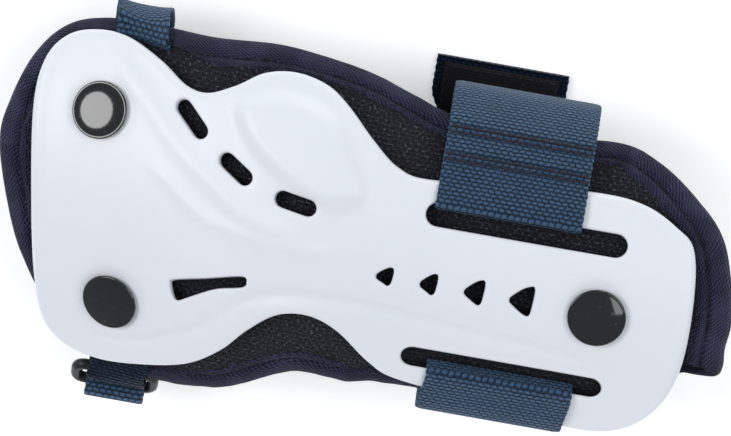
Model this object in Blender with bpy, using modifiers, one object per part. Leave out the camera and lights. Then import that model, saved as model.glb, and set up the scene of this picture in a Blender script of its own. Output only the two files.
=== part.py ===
"""A wrist guard: a moulded palm plate on a padded sleeve, held by two webbing straps.

The guard lies on its back. +Z points out of the palm plate, +X points towards the forearm
and +Y towards the thumb. The origin is on the flat back run of the wrist strap, on which
the guard rests. Sizes are in millimetres and MM turns them into Blender's metres.
Places along the guard are counted from the wrist crease, and STRAP_X takes them to the origin.
"""

import math

import bmesh
import bpy
import numpy as np
from mathutils import Matrix, Vector

MM = 0.001
FIT = 0.3  # gap between pieces that touch

# Overall sizes. The cutting patterns are drawn for PATTERN_LENGTH and PATTERN_WIDTH.
PLATE_LENGTH = 176.0
PLATE_WIDTH = 87.0
PLATE_TOP = 60.0  # height of the plate's crest above the rest surface
PATTERN_LENGTH = 176.0
PATTERN_WIDTH = 87.0

# The plate's bend
FOREARM_RADIUS = 63.0
HAND_RADIUS = 93.0
RADIUS_START = 20.0
RADIUS_RUN = 70.0
HAND_PITCH = 19.5
PITCH_START = 22.0
PITCH_RUN = 78.0

# Layers, outside to inside
PLATE_THICKNESS = 2.6
WEBBING = 1.4
COVER = 1.0
PALM_FOAM = 4.0
LINING = 1.0
BACK_FOAM = 3.5
SPLINT = 1.8
PATCH = 0.7
GUSSET = 1.2
BINDING_WIDTH = 6.0
LAYER_SLACK = 0.1  # room for the flats of a curved sheet
EDGE_GAP = 0.9  # between a panel's layers and its binding

# Straps
WRIST_STRAP_WIDTH = 38.0
WRIST_STRAP_X = 36.0
HAND_STRAP_WIDTH = 15.5
HAND_STRAP_THUMB_X = -64.5
HAND_STRAP_RING_X = -56.0
SLOT_WIDTH = 6.2
SLOT_LENGTH = 52.4
SLOT_START = 15.0
THUMB_SLOT_Y = 18.0
LITTLE_SLOT_Y = -21.1
HINGE_GAP = 0.9  # room in which a strap end bends
TAIL_HINGE_Y = 22.0
TAIL_REACH = 23.0
TAIL_SHIFT = -7.5
TAIL_WIDTH = 35.0
HAND_HINGE_Y = -18.0
HAND_END_REACH = 26.0
PAD_EDGE_Y = 47.4  # where the hand strap and the ring's tab leave the pad's edge

# Rivets and ring
CAP_RADIUS = 7.5
CAP_HEIGHT = 2.4
POST_RADIUS = 2.4
WASHER_RADIUS = 6.4
WASHER = 1.2
RING_BAR_RADIUS = 1.5
RING_WIDTH = 22.0
RING_DEPTH = 7.4
RING_CORNER = 2.2
RING_OUT = 1.4  # the ring's axis, outwards of the pad's edge
RING_DROP = 6.9  # and below it
RING_SLOPE = 45.6

# Back of the guard
BACK_LENGTH = (-44.0, 97.0)
BACK_HALF_WIDTH = 28.0
BACK_FLAT = 16.0
BACK_RISE_RADIUS = 34.0
SPLINT_LENGTH = (-36.0, 84.0)
SPLINT_WIDTH = 24.0

RIVETS = {"thumb": (-72.1, 24.2), "little": (-61.4, -24.8), "forearm": (62.7, -0.8)}

PLATE_OUTLINE = (
    (-89.3, 21), (-88.3, 33), (-83.5, 40), (-76, 43.2), (-68, 43.3), (-59, 39.9), (-52, 35.9),
    (-46, 35.3), (-39, 38.7), (-32, 43.3), (-24, 45), (-15.5, 43.6), (-9, 39.7), (-1, 32.7),
    (6, 27.7), (14, 26.1), (34, 28.4), (58, 30), (70, 29), (79, 25), (84.4, 20), (86.6, 6),
    (86.3, -12), (82, -25), (73, -33.3), (60, -35), (38, -32), (15, -29.1), (7, -25.4),
    (-2, -18.2), (-10, -15.3), (-18, -16.9), (-25, -23.2), (-31, -31), (-39, -37.4), (-50, -41),
    (-62, -42.8), (-71, -40.3), (-76.5, -34), (-80.5, -22), (-85, -2),
)  # fmt: skip
SLEEVE_OUTLINE = (
    (-97, 8), (-96, 19), (-92, 31), (-85, 40), (-76, 44), (-62, 45.4), (-48, 46.1),
    (-31, 48.2), (-18, 47.8), (-5, 46), (7, 42.6), (19, 39.3), (38, 38.6), (60, 39.2), (72, 36.5),
    (83, 31.2), (90.5, 24), (94.5, 14), (96.8, 2), (95.5, -9), (90, -20), (81, -28), (68, -32),
    (44, -32.6), (20, -33.4), (4, -34), (-8, -33.2), (-15, -35), (-23, -39.8), (-31, -44.2),
    (-44, -46.4), (-58, -46.6), (-69, -43.6), (-78, -34.5), (-85.5, -23), (-91.5, -10),
)  # fmt: skip

# Vents: each obround has its two end centres, and its width
SLANT_VENTS = (
    ((-51, 30.3), (-46, 25.8)), ((-37.6, 20.2), (-32.6, 17.3)), ((-21.8, 14.2), (-15, 13.4)),
)  # fmt: skip
VENT_WIDTH = 4.1
WEDGE_VENT = ((-44.6, -17.2, 2.9), (-29, -9.9, 1.5))
PICK_VENTS = ((5.2, 9.5, 2.6), (16.6, 21, 3.0), (28.1, 33.2, 3.5), (39.9, 46, 4.1))
PICK_ROUND = 0.9

PAD_TOP = PLATE_THICKNESS + WEBBING + 2 * FIT + LAYER_SLACK
COVER_BOTTOM = PAD_TOP + COVER
PALM_FOAM_TOP = COVER_BOTTOM + FIT
WASHER_TOP = PALM_FOAM_TOP + WASHER_RADIUS**2 / (2 * (FOREARM_RADIUS - COVER_BOTTOM))
PALM_LINING_TOP = PALM_FOAM_TOP + PALM_FOAM + FIT
PAD_BOTTOM = PALM_LINING_TOP + LINING
UNDER_PLATE = PLATE_THICKNESS + FIT + LAYER_SLACK / 2 + WEBBING / 2
OVER_PLATE = -(FIT + WEBBING / 2)
OUTER_RUN = WEBBING / 2
HOOK_BOTTOM = WEBBING + FIT
LOOP_BOTTOM = HOOK_BOTTOM + PATCH + FIT
INNER_RUN = LOOP_BOTTOM + PATCH + FIT + WEBBING / 2
BACK_BOTTOM = INNER_RUN + WEBBING / 2 + FIT + LAYER_SLACK
SPLINT_BOTTOM = BACK_BOTTOM + COVER + FIT
BACK_FOAM_BOTTOM = SPLINT_BOTTOM + SPLINT + FIT
BACK_LINING_BOTTOM = BACK_FOAM_BOTTOM + BACK_FOAM + FIT
BACK_TOP = BACK_LINING_BOTTOM + LINING

MATERIALS = {
    "white_plastic": ((0.83, 0.86, 0.91), 0.32, 0.0),
    "black_gloss": ((0.012, 0.012, 0.014), 0.14, 0.0),
    "black_satin": ((0.02, 0.02, 0.022), 0.4, 0.0),
    "mesh_black": ((0.016, 0.016, 0.02), 0.9, 0.0),
    "foam_grey": ((0.12, 0.12, 0.13), 0.95, 0.0),
    "navy_tape": ((0.03, 0.035, 0.085), 0.85, 0.0),
    "blue_webbing": ((0.03, 0.075, 0.17), 0.75, 0.0),
    "hook_black": ((0.012, 0.012, 0.016), 0.8, 0.0),
    "loop_navy": ((0.02, 0.03, 0.08), 0.95, 0.0),
    "splint_plastic": ((0.05, 0.05, 0.055), 0.5, 0.0),
    "washer_black": ((0.03, 0.03, 0.03), 0.45, 0.0),
}


def lengthwise(x):
    """A pattern's place along the guard, graded to the plate's length."""
    return x * PLATE_LENGTH / PATTERN_LENGTH


def crosswise(y):
    """A pattern's place across the guard, graded to the plate's width."""
    return y * PLATE_WIDTH / PATTERN_WIDTH


def graded(points):
    return [(lengthwise(x), crosswise(y)) for x, y in points]


def ease(t):
    t = min(max(t, 0.0), 1.0)
    return t * t * (3 - 2 * t)


def bend_radius(x):
    """Radius of the plate's outer face across the guard."""
    share = ease((lengthwise(RADIUS_START) - x) / lengthwise(RADIUS_RUN))
    return FOREARM_RADIUS + (HAND_RADIUS - FOREARM_RADIUS) * share


def crest(x):
    """Height of the plate's crest: level over the forearm, then eased down towards the fingers."""
    run = lengthwise(PITCH_RUN)
    t = max((lengthwise(PITCH_START) - x) / run, 0.0)
    fall = t**3 - t**4 / 2 if t < 1 else t - 0.5
    return PLATE_TOP - math.tan(math.radians(HAND_PITCH)) * run * fall


def outer_face(x, s):
    radius = bend_radius(x)
    angle = s / radius
    return Vector((x, radius * math.sin(angle), crest(x) - radius * (1 - math.cos(angle))))


def outer_normal(x, s):
    step = 0.5
    along = outer_face(x + step, s) - outer_face(x - step, s)
    across = outer_face(x, s + step) - outer_face(x, s - step)
    return along.cross(across).normalized()


def palm_point(x, s, depth):
    """The point that lies depth below the plate's outer face, s round it from the crest."""
    return outer_face(x, s) - depth * outer_normal(x, s)


def girth(x, y, depth=0.0):
    """How far round the outer face a point lies whose distance from the middle is y at that depth."""
    radius = bend_radius(x)
    return radius * math.asin(max(-1.0, min(1.0, y / (radius - depth))))


def back_point(x, s, height):
    """The point at that height over the guard's back, s round it: flat in the middle, then rising."""
    beyond = max(abs(s) - BACK_FLAT, 0.0)
    angle = beyond / BACK_RISE_RADIUS
    radius = BACK_RISE_RADIUS - (height - BACK_BOTTOM)
    y = min(abs(s), BACK_FLAT) + radius * math.sin(angle)
    z = height + radius * (1 - math.cos(angle))
    return Vector((x, math.copysign(y, s), z))


def spline(points, steps, closed=False):
    """A Catmull-Rom curve through the points, as an array with the given steps for each span."""
    p = np.array(points, float)
    if closed:
        p = np.vstack([p[-1], p, p[:2]])
    else:
        p = np.vstack([2 * p[0] - p[1], p, 2 * p[-1] - p[-2]])
    t = np.linspace(0, 1, steps, endpoint=False)[:, None]
    rows = []
    for a, b, c, d in zip(p[:-3], p[1:-2], p[2:-1], p[3:]):
        cubic = -a + 3 * b - 3 * c + d
        square = 2 * a - 5 * b + 4 * c - d
        rows.append(b + 0.5 * ((c - a) * t + square * t**2 + cubic * t**3))
    if not closed:
        rows.append(p[-2:-1])
    return np.vstack(rows)


def inset(outline, distance):
    """A closed outline moved inwards. It runs clockwise, seen from +Z."""
    along = np.roll(outline, -1, axis=0) - np.roll(outline, 1, axis=0)
    along /= np.linalg.norm(along, axis=1)[:, None]
    inwards = np.stack([along[:, 1], -along[:, 0]], axis=1)
    return outline + distance * inwards


def material(name):
    found = bpy.data.materials.get(name)
    if found:
        return found
    color, roughness, metallic = MATERIALS[name]
    made = bpy.data.materials.new(name)
    made.use_nodes = True
    shader = made.node_tree.nodes["Principled BSDF"]
    shader.inputs["Base Color"].default_value = (*color, 1)
    shader.inputs["Roughness"].default_value = roughness
    shader.inputs["Metallic"].default_value = metallic
    return made


def new_collection(name):
    made = bpy.data.collections.new(name)
    bpy.context.scene.collection.children.link(made)
    return made


def new_object(name, mesh, collection, material_name=None):
    obj = bpy.data.objects.new(name, mesh)
    collection.objects.link(obj)
    if material_name:
        mesh.materials.append(material(material_name))
    return obj


def grid_mesh(name, columns, rows, place):
    """A grid over the unit square, with each point moved to place(u, v)."""
    bm = bmesh.new()
    bmesh.ops.create_grid(bm, x_segments=columns, y_segments=rows, size=0.5)
    for vert in bm.verts:
        vert.co = place(vert.co.x + 0.5, vert.co.y + 0.5)
    mesh = bpy.data.meshes.new(name)
    bm.to_mesh(mesh)
    bm.free()
    return mesh


def thicken(obj, thickness, side):
    """Solidify: side is 1 to grow along the normals, -1 against them and 0 both ways."""
    solid = obj.modifiers.new("thickness", "SOLIDIFY")
    solid.thickness = thickness
    solid.offset = side
    return obj


def panel(name, columns, rows, place, thickness, side, material_name):
    """A sheet whose face is given by place(u, v) in millimetres, with a thickness."""
    mesh = grid_mesh(name, columns, rows, lambda u, v: on_guard(place(u, v)))
    obj = new_object(name, mesh, PARTS, material_name)
    return thicken(obj, thickness * MM, side)


def on_guard(point):
    """Millimetres from the wrist crease to metres from the origin."""
    return (Vector(point) - Vector((lengthwise(WRIST_STRAP_X), 0, 0))) * MM


def prism(name, outline, low, high):
    """A cutter with a flat outline, standing from low to high."""
    bm = bmesh.new()
    base = bm.faces.new([bm.verts.new((x, s, low)) for x, s in outline])
    grown = bmesh.ops.extrude_face_region(bm, geom=[base])
    top = [item for item in grown["geom"] if isinstance(item, bmesh.types.BMVert)]
    bmesh.ops.translate(bm, verts=top, vec=(0, 0, high - low))
    bmesh.ops.recalc_face_normals(bm, faces=bm.faces)
    mesh = bpy.data.meshes.new(name)
    bm.to_mesh(mesh)
    bm.free()
    obj = new_object(name, mesh, CUTTERS)
    obj.hide_render = True
    obj.display_type = "WIRE"
    return obj


def cut(obj, cutter, operation="DIFFERENCE"):
    boolean = obj.modifiers.new(cutter.name, "BOOLEAN")
    boolean.operation = operation
    boolean.solver = "EXACT"
    boolean.object = cutter


def bent_sheet(name, outline, top, thickness, holes, cell, material_name, place):
    """A flat sheet cut to its outline and holes, then bent: place(x, s, depth) gives each point."""
    low, high = outline.min(axis=0) - 1, outline.max(axis=0) + 1
    columns = round((high[0] - low[0]) / cell)
    rows = round((high[1] - low[1]) / cell)

    def flat(u, v):
        return (low[0] + u * (high[0] - low[0]), low[1] + v * (high[1] - low[1]), 0)

    blank = new_object(name + "_blank", grid_mesh(name, columns, rows, flat), CUTTERS)
    thicken(blank, thickness, -1)
    cut(blank, prism(name + "_outline", outline, -thickness - 1, 1), "INTERSECT")
    for number, hole in enumerate(holes):
        cut(blank, prism(f"{name}_hole_{number}", hole, -thickness - 1, 1))
    blank.hide_render = True
    bpy.context.view_layer.update()
    evaluated = blank.evaluated_get(bpy.context.evaluated_depsgraph_get())
    mesh = bpy.data.meshes.new_from_object(evaluated)
    for vert in mesh.vertices:
        x, s, height = vert.co
        vert.co = on_guard(place(x, s, top - height))
    for helper in [item for item in CUTTERS.objects if item.name.startswith(name + "_")]:
        bpy.data.objects.remove(helper)
    mesh.name = name
    mesh.materials.clear()
    return new_object(name, mesh, PARTS, material_name)


def round_hole(center, radius, depth, sides=12):
    """A hole in a flat sheet that is round once the sheet is bent at that depth."""
    turn = np.linspace(0, 2 * np.pi, sides, endpoint=False)
    reach = radius / math.cos(math.pi / sides)
    bend = bend_radius(center[0])
    stretch = bend / (bend - depth)
    return np.stack([center[0] + reach * np.cos(turn), center[1] + reach * stretch * np.sin(turn)], axis=1)


def capsule(start, end, start_radius, end_radius, sides=7):
    """The outline round two discs: an obround, or a wedge with round ends."""
    start, end = np.array(start, float), np.array(end, float)
    heading = math.atan2(*(end - start)[::-1])
    rim = []
    for center, radius, turn in ((start, start_radius, math.pi / 2), (end, end_radius, -math.pi / 2)):
        for angle in heading + turn + np.linspace(0, math.pi, sides):
            rim.append(center + radius * np.array([math.cos(angle), math.sin(angle)]))
    return np.array(rim)


def pick(tip, flat, half_height):
    """A vent like a guitar pick: its tip towards the fingers and a flat side towards the forearm."""
    shoulder = flat - PICK_ROUND
    corners = (
        (tip, -0.3), ((tip + flat) / 2, 0.62 * half_height), (shoulder, half_height),
        (flat, half_height - PICK_ROUND), (flat + 0.25, 0), (flat, PICK_ROUND - half_height),
        (shoulder, -half_height), ((tip + flat) / 2, -0.62 * half_height),
    )  # fmt: skip
    return spline([(lengthwise(x), y) for x, y in corners], 2, closed=True)


def slot(y):
    x = lengthwise(SLOT_START)
    end = x + lengthwise(SLOT_LENGTH)
    half = SLOT_WIDTH / 2
    y = crosswise(y)
    return capsule((x + half, girth(x, y)), (end - half, girth(end, y)), half, half)


def rivet_place(name):
    x, y = RIVETS[name]
    x, y = lengthwise(x), crosswise(y)
    return x, girth(x, y)


def plate_holes():
    holes = [slot(THUMB_SLOT_Y), slot(LITTLE_SLOT_Y)]
    for pair in SLANT_VENTS:
        ends = [(x, girth(x, y)) for x, y in graded(pair)]
        holes.append(capsule(*ends, VENT_WIDTH / 2, VENT_WIDTH / 2))
    (x0, y0, wide), (x1, y1, narrow) = WEDGE_VENT
    ends = [(x, girth(x, y)) for x, y in graded(((x0, y0), (x1, y1)))]
    holes.append(capsule(*ends, wide, narrow))
    holes += [pick(*numbers) for numbers in PICK_VENTS]
    holes += [round_hole(rivet_place(name), POST_RADIUS + FIT, PLATE_THICKNESS) for name in RIVETS]
    return holes


def palm_plate():
    outline = np.array([(x, girth(x, y)) for x, y in spline(graded(PLATE_OUTLINE), 3, closed=True)])
    bent_sheet("palm_plate", outline, 0, PLATE_THICKNESS, plate_holes(), 6.5, "white_plastic", palm_point)


def sleeve_edge():
    """The sleeve's bound edge on the palm side, unrolled."""
    points = spline(graded(SLEEVE_OUTLINE), 2, closed=True)
    return np.array([(x, girth(x, y, PAD_TOP)) for x, y in points])


def palm_layers():
    edge = inset(sleeve_edge(), BINDING_WIDTH + EDGE_GAP)
    posts = [round_hole(rivet_place(name), POST_RADIUS + FIT, COVER_BOTTOM) for name in RIVETS]
    well_bottom = WASHER_TOP + WASHER
    wells = [round_hole(rivet_place(name), WASHER_RADIUS + 2 * FIT, well_bottom) for name in RIVETS]
    bent_sheet("palm_cover", edge, PAD_TOP, COVER, posts, 9, "mesh_black", palm_point)
    foam = inset(edge, 1.0)
    bent_sheet("palm_foam", foam, PALM_FOAM_TOP, PALM_FOAM, wells, 9, "foam_grey", palm_point)
    bent_sheet("palm_lining", edge, PALM_LINING_TOP, LINING, [], 9, "mesh_black", palm_point)


def binding(name, outline, width, top, thickness, first, last, place):
    """A stretch of tape round the edge of a panel, from one point of its outline to another."""
    run = np.arange(first, last + 1) % len(outline)
    outer, inner = outline[run], inset(outline, width)[run]
    for end, beside in ((0, 1), (-1, -2)):
        shift = outer[beside] - outer[end]
        shift *= FIT / 2 / np.linalg.norm(shift)
        outer[end] += shift
        inner[end] += shift

    def face(u, v):
        station = round(u * (len(run) - 1))
        return place(*(outer[station] * v + inner[station] * (1 - v)), top)

    panel(name, len(run) - 1, 1, face, thickness, -1, "navy_tape")


def palm_bindings():
    edge = sleeve_edge()
    corners = {"thumb_side": (6, 27), "forearm_end": (27, 45), "little_side": (45, 63), "hand_end": (63, len(edge) + 6)}
    depth = PAD_BOTTOM - PAD_TOP
    for name, (first, last) in corners.items():
        binding("palm_binding_" + name, edge, BINDING_WIDTH, PAD_TOP, depth, first, last, palm_point)


def back_outline(margin):
    """The back panel's outline, unrolled: a long rectangle with round corners."""
    low, high = lengthwise(BACK_LENGTH[0]) + margin, lengthwise(BACK_LENGTH[1]) - margin
    half = crosswise(BACK_HALF_WIDTH) - margin
    corner = 9.0 - margin / 2
    rim = []
    for x, s, start in ((high, half, 90), (high, -half, 0), (low, -half, -90), (low, half, -180)):
        center = (x - math.copysign(corner, x), s - math.copysign(corner, s))
        for angle in np.radians(np.linspace(start, start - 90, 5)):
            rim.append((center[0] + corner * math.cos(angle), center[1] + corner * math.sin(angle)))
    return np.array(rim)


def back_layers():
    def place(x, s, depth):
        return back_point(x, s, -depth)

    inner = back_outline(BINDING_WIDTH + EDGE_GAP)
    bent_sheet("back_cover", inner, -BACK_BOTTOM - COVER, COVER, [], 12, "mesh_black", place)
    bent_sheet("back_foam", inner, -BACK_FOAM_BOTTOM - BACK_FOAM, BACK_FOAM, [], 12, "foam_grey", place)
    bent_sheet("back_lining", inner, -BACK_LINING_BOTTOM - LINING, LINING, [], 12, "mesh_black", place)
    half = SPLINT_WIDTH / 2
    low, high = (lengthwise(x) for x in SPLINT_LENGTH)
    stay = capsule((low + half, 0), (high - half, 0), half, half)
    bent_sheet("back_splint", stay, -SPLINT_BOTTOM - SPLINT, SPLINT, [], 12, "splint_plastic", place)


def back_binding():
    outline = back_outline(0)
    corners = {"forearm_end": (0, 9), "little_side": (9, 10), "hand_end": (10, 19), "thumb_side": (19, len(outline))}

    def place(x, s, depth):
        return back_point(x, s, -depth)

    depth = BACK_TOP - BACK_BOTTOM
    for name, (first, last) in corners.items():
        binding("back_binding_" + name, outline, BINDING_WIDTH, -BACK_TOP, depth, first, last, place)


def side_gusset():
    """The fabric wall on the little-finger side, between the palm panel and the back panel."""
    edge = sleeve_edge()
    lower = edge[edge[:, 1] < 0]
    lower = lower[np.argsort(lower[:, 0])]
    low, high = lengthwise(BACK_LENGTH[0]) + 10, lengthwise(84.0)

    def face(u, v):
        x = low + (high - low) * u
        s = np.interp(x, lower[:, 0], lower[:, 1])
        top = palm_point(x, s + 1.2, PAD_BOTTOM + FIT + GUSSET / 2)
        bottom = back_point(x, -crosswise(BACK_HALF_WIDTH) + 2, BACK_TOP + FIT + GUSSET / 2)
        middle = (top + bottom) / 2 + Vector((0, -9, 0))
        point = top * v * v + middle * 2 * v * (1 - v) + bottom * (1 - v) ** 2
        return (x, point.y, point.z)

    panel("side_gusset", 16, 6, face, GUSSET, 0, "mesh_black")


def strap(name, stations, width, material_name, thickness=WEBBING, steps=3):
    """Webbing along a path that stays off the ground. A station is x, y, z and the slope of its width."""
    path = spline(stations, steps)
    path[:, 2] = np.maximum(path[:, 2], thickness / 2)

    def face(u, v):
        x, y, z, slope = path[round(u * (len(path) - 1))]
        reach = (v - 0.5) * width
        return (x + reach, y, z + reach * slope)

    return panel(name, len(path) - 1, 1, face, thickness, 0, material_name)


def hinge(name, point, pieces):
    """An empty on a joint's axis, which carries the pieces that turn about it."""
    pivot = bpy.data.objects.new(name, None)
    PARTS.objects.link(pivot)
    pivot.location = on_guard(point)
    bpy.context.view_layer.update()
    for piece in pieces:
        piece.parent = pivot
        piece.matrix_parent_inverse = pivot.matrix_world.inverted()


def level(x, points):
    return [(x, y, z, 0.0) for y, z in points]


def risen(low, high, points):
    """Side stations of a strap: each has its y, and its share of the height between low and high."""
    return [(crosswise(y), low + (high - low) * share) for y, share in points]


def forearm_point(y, depth):
    """A point of the forearm section, at that distance from the middle and that depth."""
    radius = FOREARM_RADIUS - depth
    return y, PLATE_TOP - FOREARM_RADIUS + math.sqrt(radius**2 - y**2)


def around_slot(slot_y, side):
    """The turn through a strap slot round its bar, from under the plate to over it."""
    bar = math.asin((crosswise(slot_y) + side * SLOT_WIDTH / 2) / FOREARM_RADIUS)
    reach = WEBBING / 2 + FIT + 0.3
    slant = reach * math.sqrt(0.5)
    turn = (
        (4.6, UNDER_PLATE), (1.4, UNDER_PLATE), (-slant, PLATE_THICKNESS + slant),
        (-reach, PLATE_THICKNESS - 0.2), (-reach, 0.2), (-slant, -slant), (1.4, OVER_PLATE - 0.05),
        (4.6, OVER_PLATE),
    )  # fmt: skip
    points = []
    for past, depth in turn:
        angle = bar + side * past / FOREARM_RADIUS
        points.append(forearm_point((FOREARM_RADIUS - depth) * math.sin(angle), depth))
    return points


def wrist_strap():
    """One length of webbing: sewn round the thumb-side bar, round the back, through the little-side
    slot and back round the outside, as far as its free end."""
    x = lengthwise(WRIST_STRAP_X)
    sewn = ((40.1, UNDER_PLATE - 2.35), (34.8, UNDER_PLATE - 1.3), (29.7, UNDER_PLATE))
    sewn = [forearm_point(crosswise(y), depth) for y, depth in sewn]
    over = ((32.0, OVER_PLATE), (36.7, OVER_PLATE - 0.1), (41.4, OVER_PLATE + 0.25))
    over = [forearm_point(crosswise(y), depth) for y, depth in over]
    thumb_side = ((45.4, 0.806), (46.0, 0.648), (44.0, 0.453), (39.4, 0.246), (32.6, 0.08))
    thumb_side = risen(INNER_RUN, over[-1][1], thumb_side)
    back_in = [(y, INNER_RUN) for y in (18, 0, -18)]
    under = [forearm_point(crosswise(y), UNDER_PLATE + fall) for y, fall in ((-36.5, 0.5), (-32.3, 0))]
    little_in = ((-24, 0.009), (-29.2, 0.072), (-33.2, 0.209), (-35.4, 0.402), (-36.2, 0.66), (-35.9, 0.892))
    little_in = risen(INNER_RUN, under[0][1], little_in) + under
    across = [forearm_point(crosswise(y), OVER_PLATE + fall) for y, fall in ((-35.3, 0), (-39.0, 1.0))]
    little_out = ((-38.2, 0.847), (-38.6, 0.64), (-37.8, 0.41), (-35.2, 0.2205), (-30.4, 0.085), (-25, 0.022))
    little_out = across + risen(OUTER_RUN, across[-1][1], little_out)
    back_out = [(y, OUTER_RUN) for y in (-19.5, -13, 5, TAIL_HINGE_Y - HINGE_GAP / 2)]
    points = sewn + around_slot(THUMB_SLOT_Y, 1) + over + thumb_side + [(25, INNER_RUN + 0.4)] + back_in
    points += little_in + around_slot(LITTLE_SLOT_Y, -1) + little_out + back_out
    strap("wrist_strap", level(x, points), WRIST_STRAP_WIDTH, "blue_webbing", steps=2)


def wrist_strap_tail():
    """The free end of the wrist strap, lying out past the thumb side with its hook patch up."""
    x = lengthwise(WRIST_STRAP_X)
    start = TAIL_HINGE_Y + HINGE_GAP / 2
    end = TAIL_HINGE_Y + TAIL_REACH
    middle = (start + end) / 2
    route = ((0.5, start), (0.8, middle), (1, end))
    stations = [(x + TAIL_SHIFT * share, y, OUTER_RUN, 0) for share, y in route]
    tail = strap("wrist_strap_tail", stations, TAIL_WIDTH, "blue_webbing", steps=2)
    z = HOOK_BOTTOM + PATCH / 2
    stations = [(x + TAIL_SHIFT * 0.9, start + 7, z, 0), (x + TAIL_SHIFT, end - 1.5, z, 0)]
    patch = strap("wrist_hook_patch", stations, TAIL_WIDTH - 5.5, "hook_black", PATCH, steps=1)
    hinge("wrist_strap_peel", (x, TAIL_HINGE_Y, OUTER_RUN), (tail, patch))


def wrist_loop_patch():
    z = LOOP_BOTTOM + PATCH / 2
    stations = level(lengthwise(WRIST_STRAP_X), [(-17.5, z), (17.5, z)])
    strap("wrist_loop_patch", stations, WRIST_STRAP_WIDTH - 4, "loop_navy", PATCH, steps=2)


def hand_strap_x(y):
    """The hand strap runs a little askew, from the thumb side to the ring."""
    share = min(max((30 - y) / 60, 0.0), 1.0)
    x0, x1 = lengthwise(HAND_STRAP_THUMB_X), lengthwise(HAND_STRAP_RING_X)
    return x0 + (x1 - x0) * share


def on_pad(x, y, depth):
    """A strap station between the plate and the pad, leaning with the plate."""
    s = girth(x, y, depth)
    point = palm_point(x, s, depth)
    slope = math.tan(math.radians(HAND_PITCH))
    return (point.x, point.y, point.z, slope)


def ring_axis():
    """The axis of the ring's hinge bar, in y and z."""
    edge = on_pad(lengthwise(HAND_STRAP_RING_X), -crosswise(PAD_EDGE_Y), UNDER_PLATE - 0.4)
    return edge[1] - RING_OUT, edge[2] - RING_DROP


def ring_point(distance, offset=0.0):
    """A point in the ring's section: distance from its hinge bar towards its strap bar, offset outwards."""
    turn = math.radians(180 + RING_SLOPE)
    heading = (math.cos(turn), math.sin(turn))
    y, z = ring_axis()
    return y + distance * heading[0] + offset * heading[1], z + distance * heading[1] - offset * heading[0]


def hand_strap():
    """Webbing sewn under the plate at the thumb side, round the back of the hand and through the ring."""
    x = lengthwise(HAND_STRAP_THUMB_X)
    stations = [on_pad(x, crosswise(y), UNDER_PLATE) for y in (32.5, 37, 41.5, 46)]
    base = stations[-1][2]
    side = ((48.3, 0.868, 0.24), (49.3, 0.706, 0.14), (48.8, 0.537, 0.07), (46.4, 0.361, 0.03))
    for y, share, slope in side:
        stations.append((x, crosswise(y), INNER_RUN + (base - INNER_RUN) * share, slope))
    stations += [(x, crosswise(y), INNER_RUN + rise, 0) for y, rise in ((42, 2.2), (35.5, 0.3), (29, 0))]
    stations += [(hand_strap_x(y), y, INNER_RUN, 0) for y in (10, -10, -27)]
    x = lengthwise(HAND_STRAP_RING_X)
    ring_y, ring_z = ring_axis()
    shift = ring_y + crosswise(48.8)
    window = (RING_DEPTH + 2 * FIT + WEBBING) / 2
    rest = RING_DEPTH
    inner = risen(INNER_RUN, ring_z, ((-35, 0.077), (-41, 0.276), (-45.8, 0.514)))
    outer = risen(OUTER_RUN, ring_z, ((-53.6, 0.445), (-48.5, 0.248), (-41, 0.087), (-33.5, 0.007)))
    turn = [ring_point(window - 0.2, -3.6), ring_point(window, 0.2), ring_point(window + 0.9, 3.0),
            ring_point(rest, 4.3), ring_point(rest + 2.5, 2.4), ring_point(rest + 3.0, -0.6)]  # fmt: skip
    loop = [(y + shift, z) for y, z in inner] + turn + [(y + shift, z) for y, z in outer]
    stations += level(x, loop + [(-27, OUTER_RUN)])
    end = HAND_HINGE_Y - HINGE_GAP / 2
    stations.append((hand_strap_x(end), end, OUTER_RUN, 0))
    strap("hand_strap", stations, HAND_STRAP_WIDTH, "blue_webbing", steps=2)


def hand_strap_end():
    """The folded-back end of the hand strap, held to the back run by hook and loop."""
    start = HAND_HINGE_Y + HINGE_GAP / 2
    end = HAND_HINGE_Y + HAND_END_REACH
    stations = [(hand_strap_x(y), y, OUTER_RUN, 0) for y in (start, (start + end) / 2, end)]
    flap = strap("hand_strap_end", stations, HAND_STRAP_WIDTH, "blue_webbing", steps=1)
    z = HOOK_BOTTOM + PATCH / 2
    stations = [(hand_strap_x(y), y, z, 0) for y in (start + 3, end - 2)]
    patch = strap("hand_hook_patch", stations, HAND_STRAP_WIDTH - 2, "hook_black", PATCH, steps=1)
    hinge("hand_strap_peel", (hand_strap_x(HAND_HINGE_Y), HAND_HINGE_Y, OUTER_RUN), (flap, patch))
    z = LOOP_BOTTOM + PATCH / 2
    stations = [(hand_strap_x(y), y, z, 0) for y in (start - 2, end + 8)]
    strap("hand_loop_patch", stations, HAND_STRAP_WIDTH - 2, "loop_navy", PATCH, steps=1)


def ring_tab():
    """A short webbing tab sewn under the plate, which carries the ring's hinge bar in its loop."""
    x = lengthwise(HAND_STRAP_RING_X)
    stations = [on_pad(x, -crosswise(y), UNDER_PLATE) for y in (33.5, 38.5, 43.5)]
    edge = on_pad(x, -crosswise(PAD_EDGE_Y), UNDER_PLATE - 0.4)
    stations += [(x, edge[1], edge[2], 0.28), (x, edge[1] - 3.0, edge[2] - 2.3, 0.12)]
    reach = RING_BAR_RADIUS + FIT + 0.3 + WEBBING / 2
    y, z = ring_axis()
    for turn in np.radians((165, 205, 245, 285, 320)):
        stations.append((x, y + reach * math.cos(turn), z + reach * math.sin(turn), 0))
    strap("ring_tab", stations, HAND_STRAP_WIDTH, "blue_webbing", steps=2)


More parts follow.
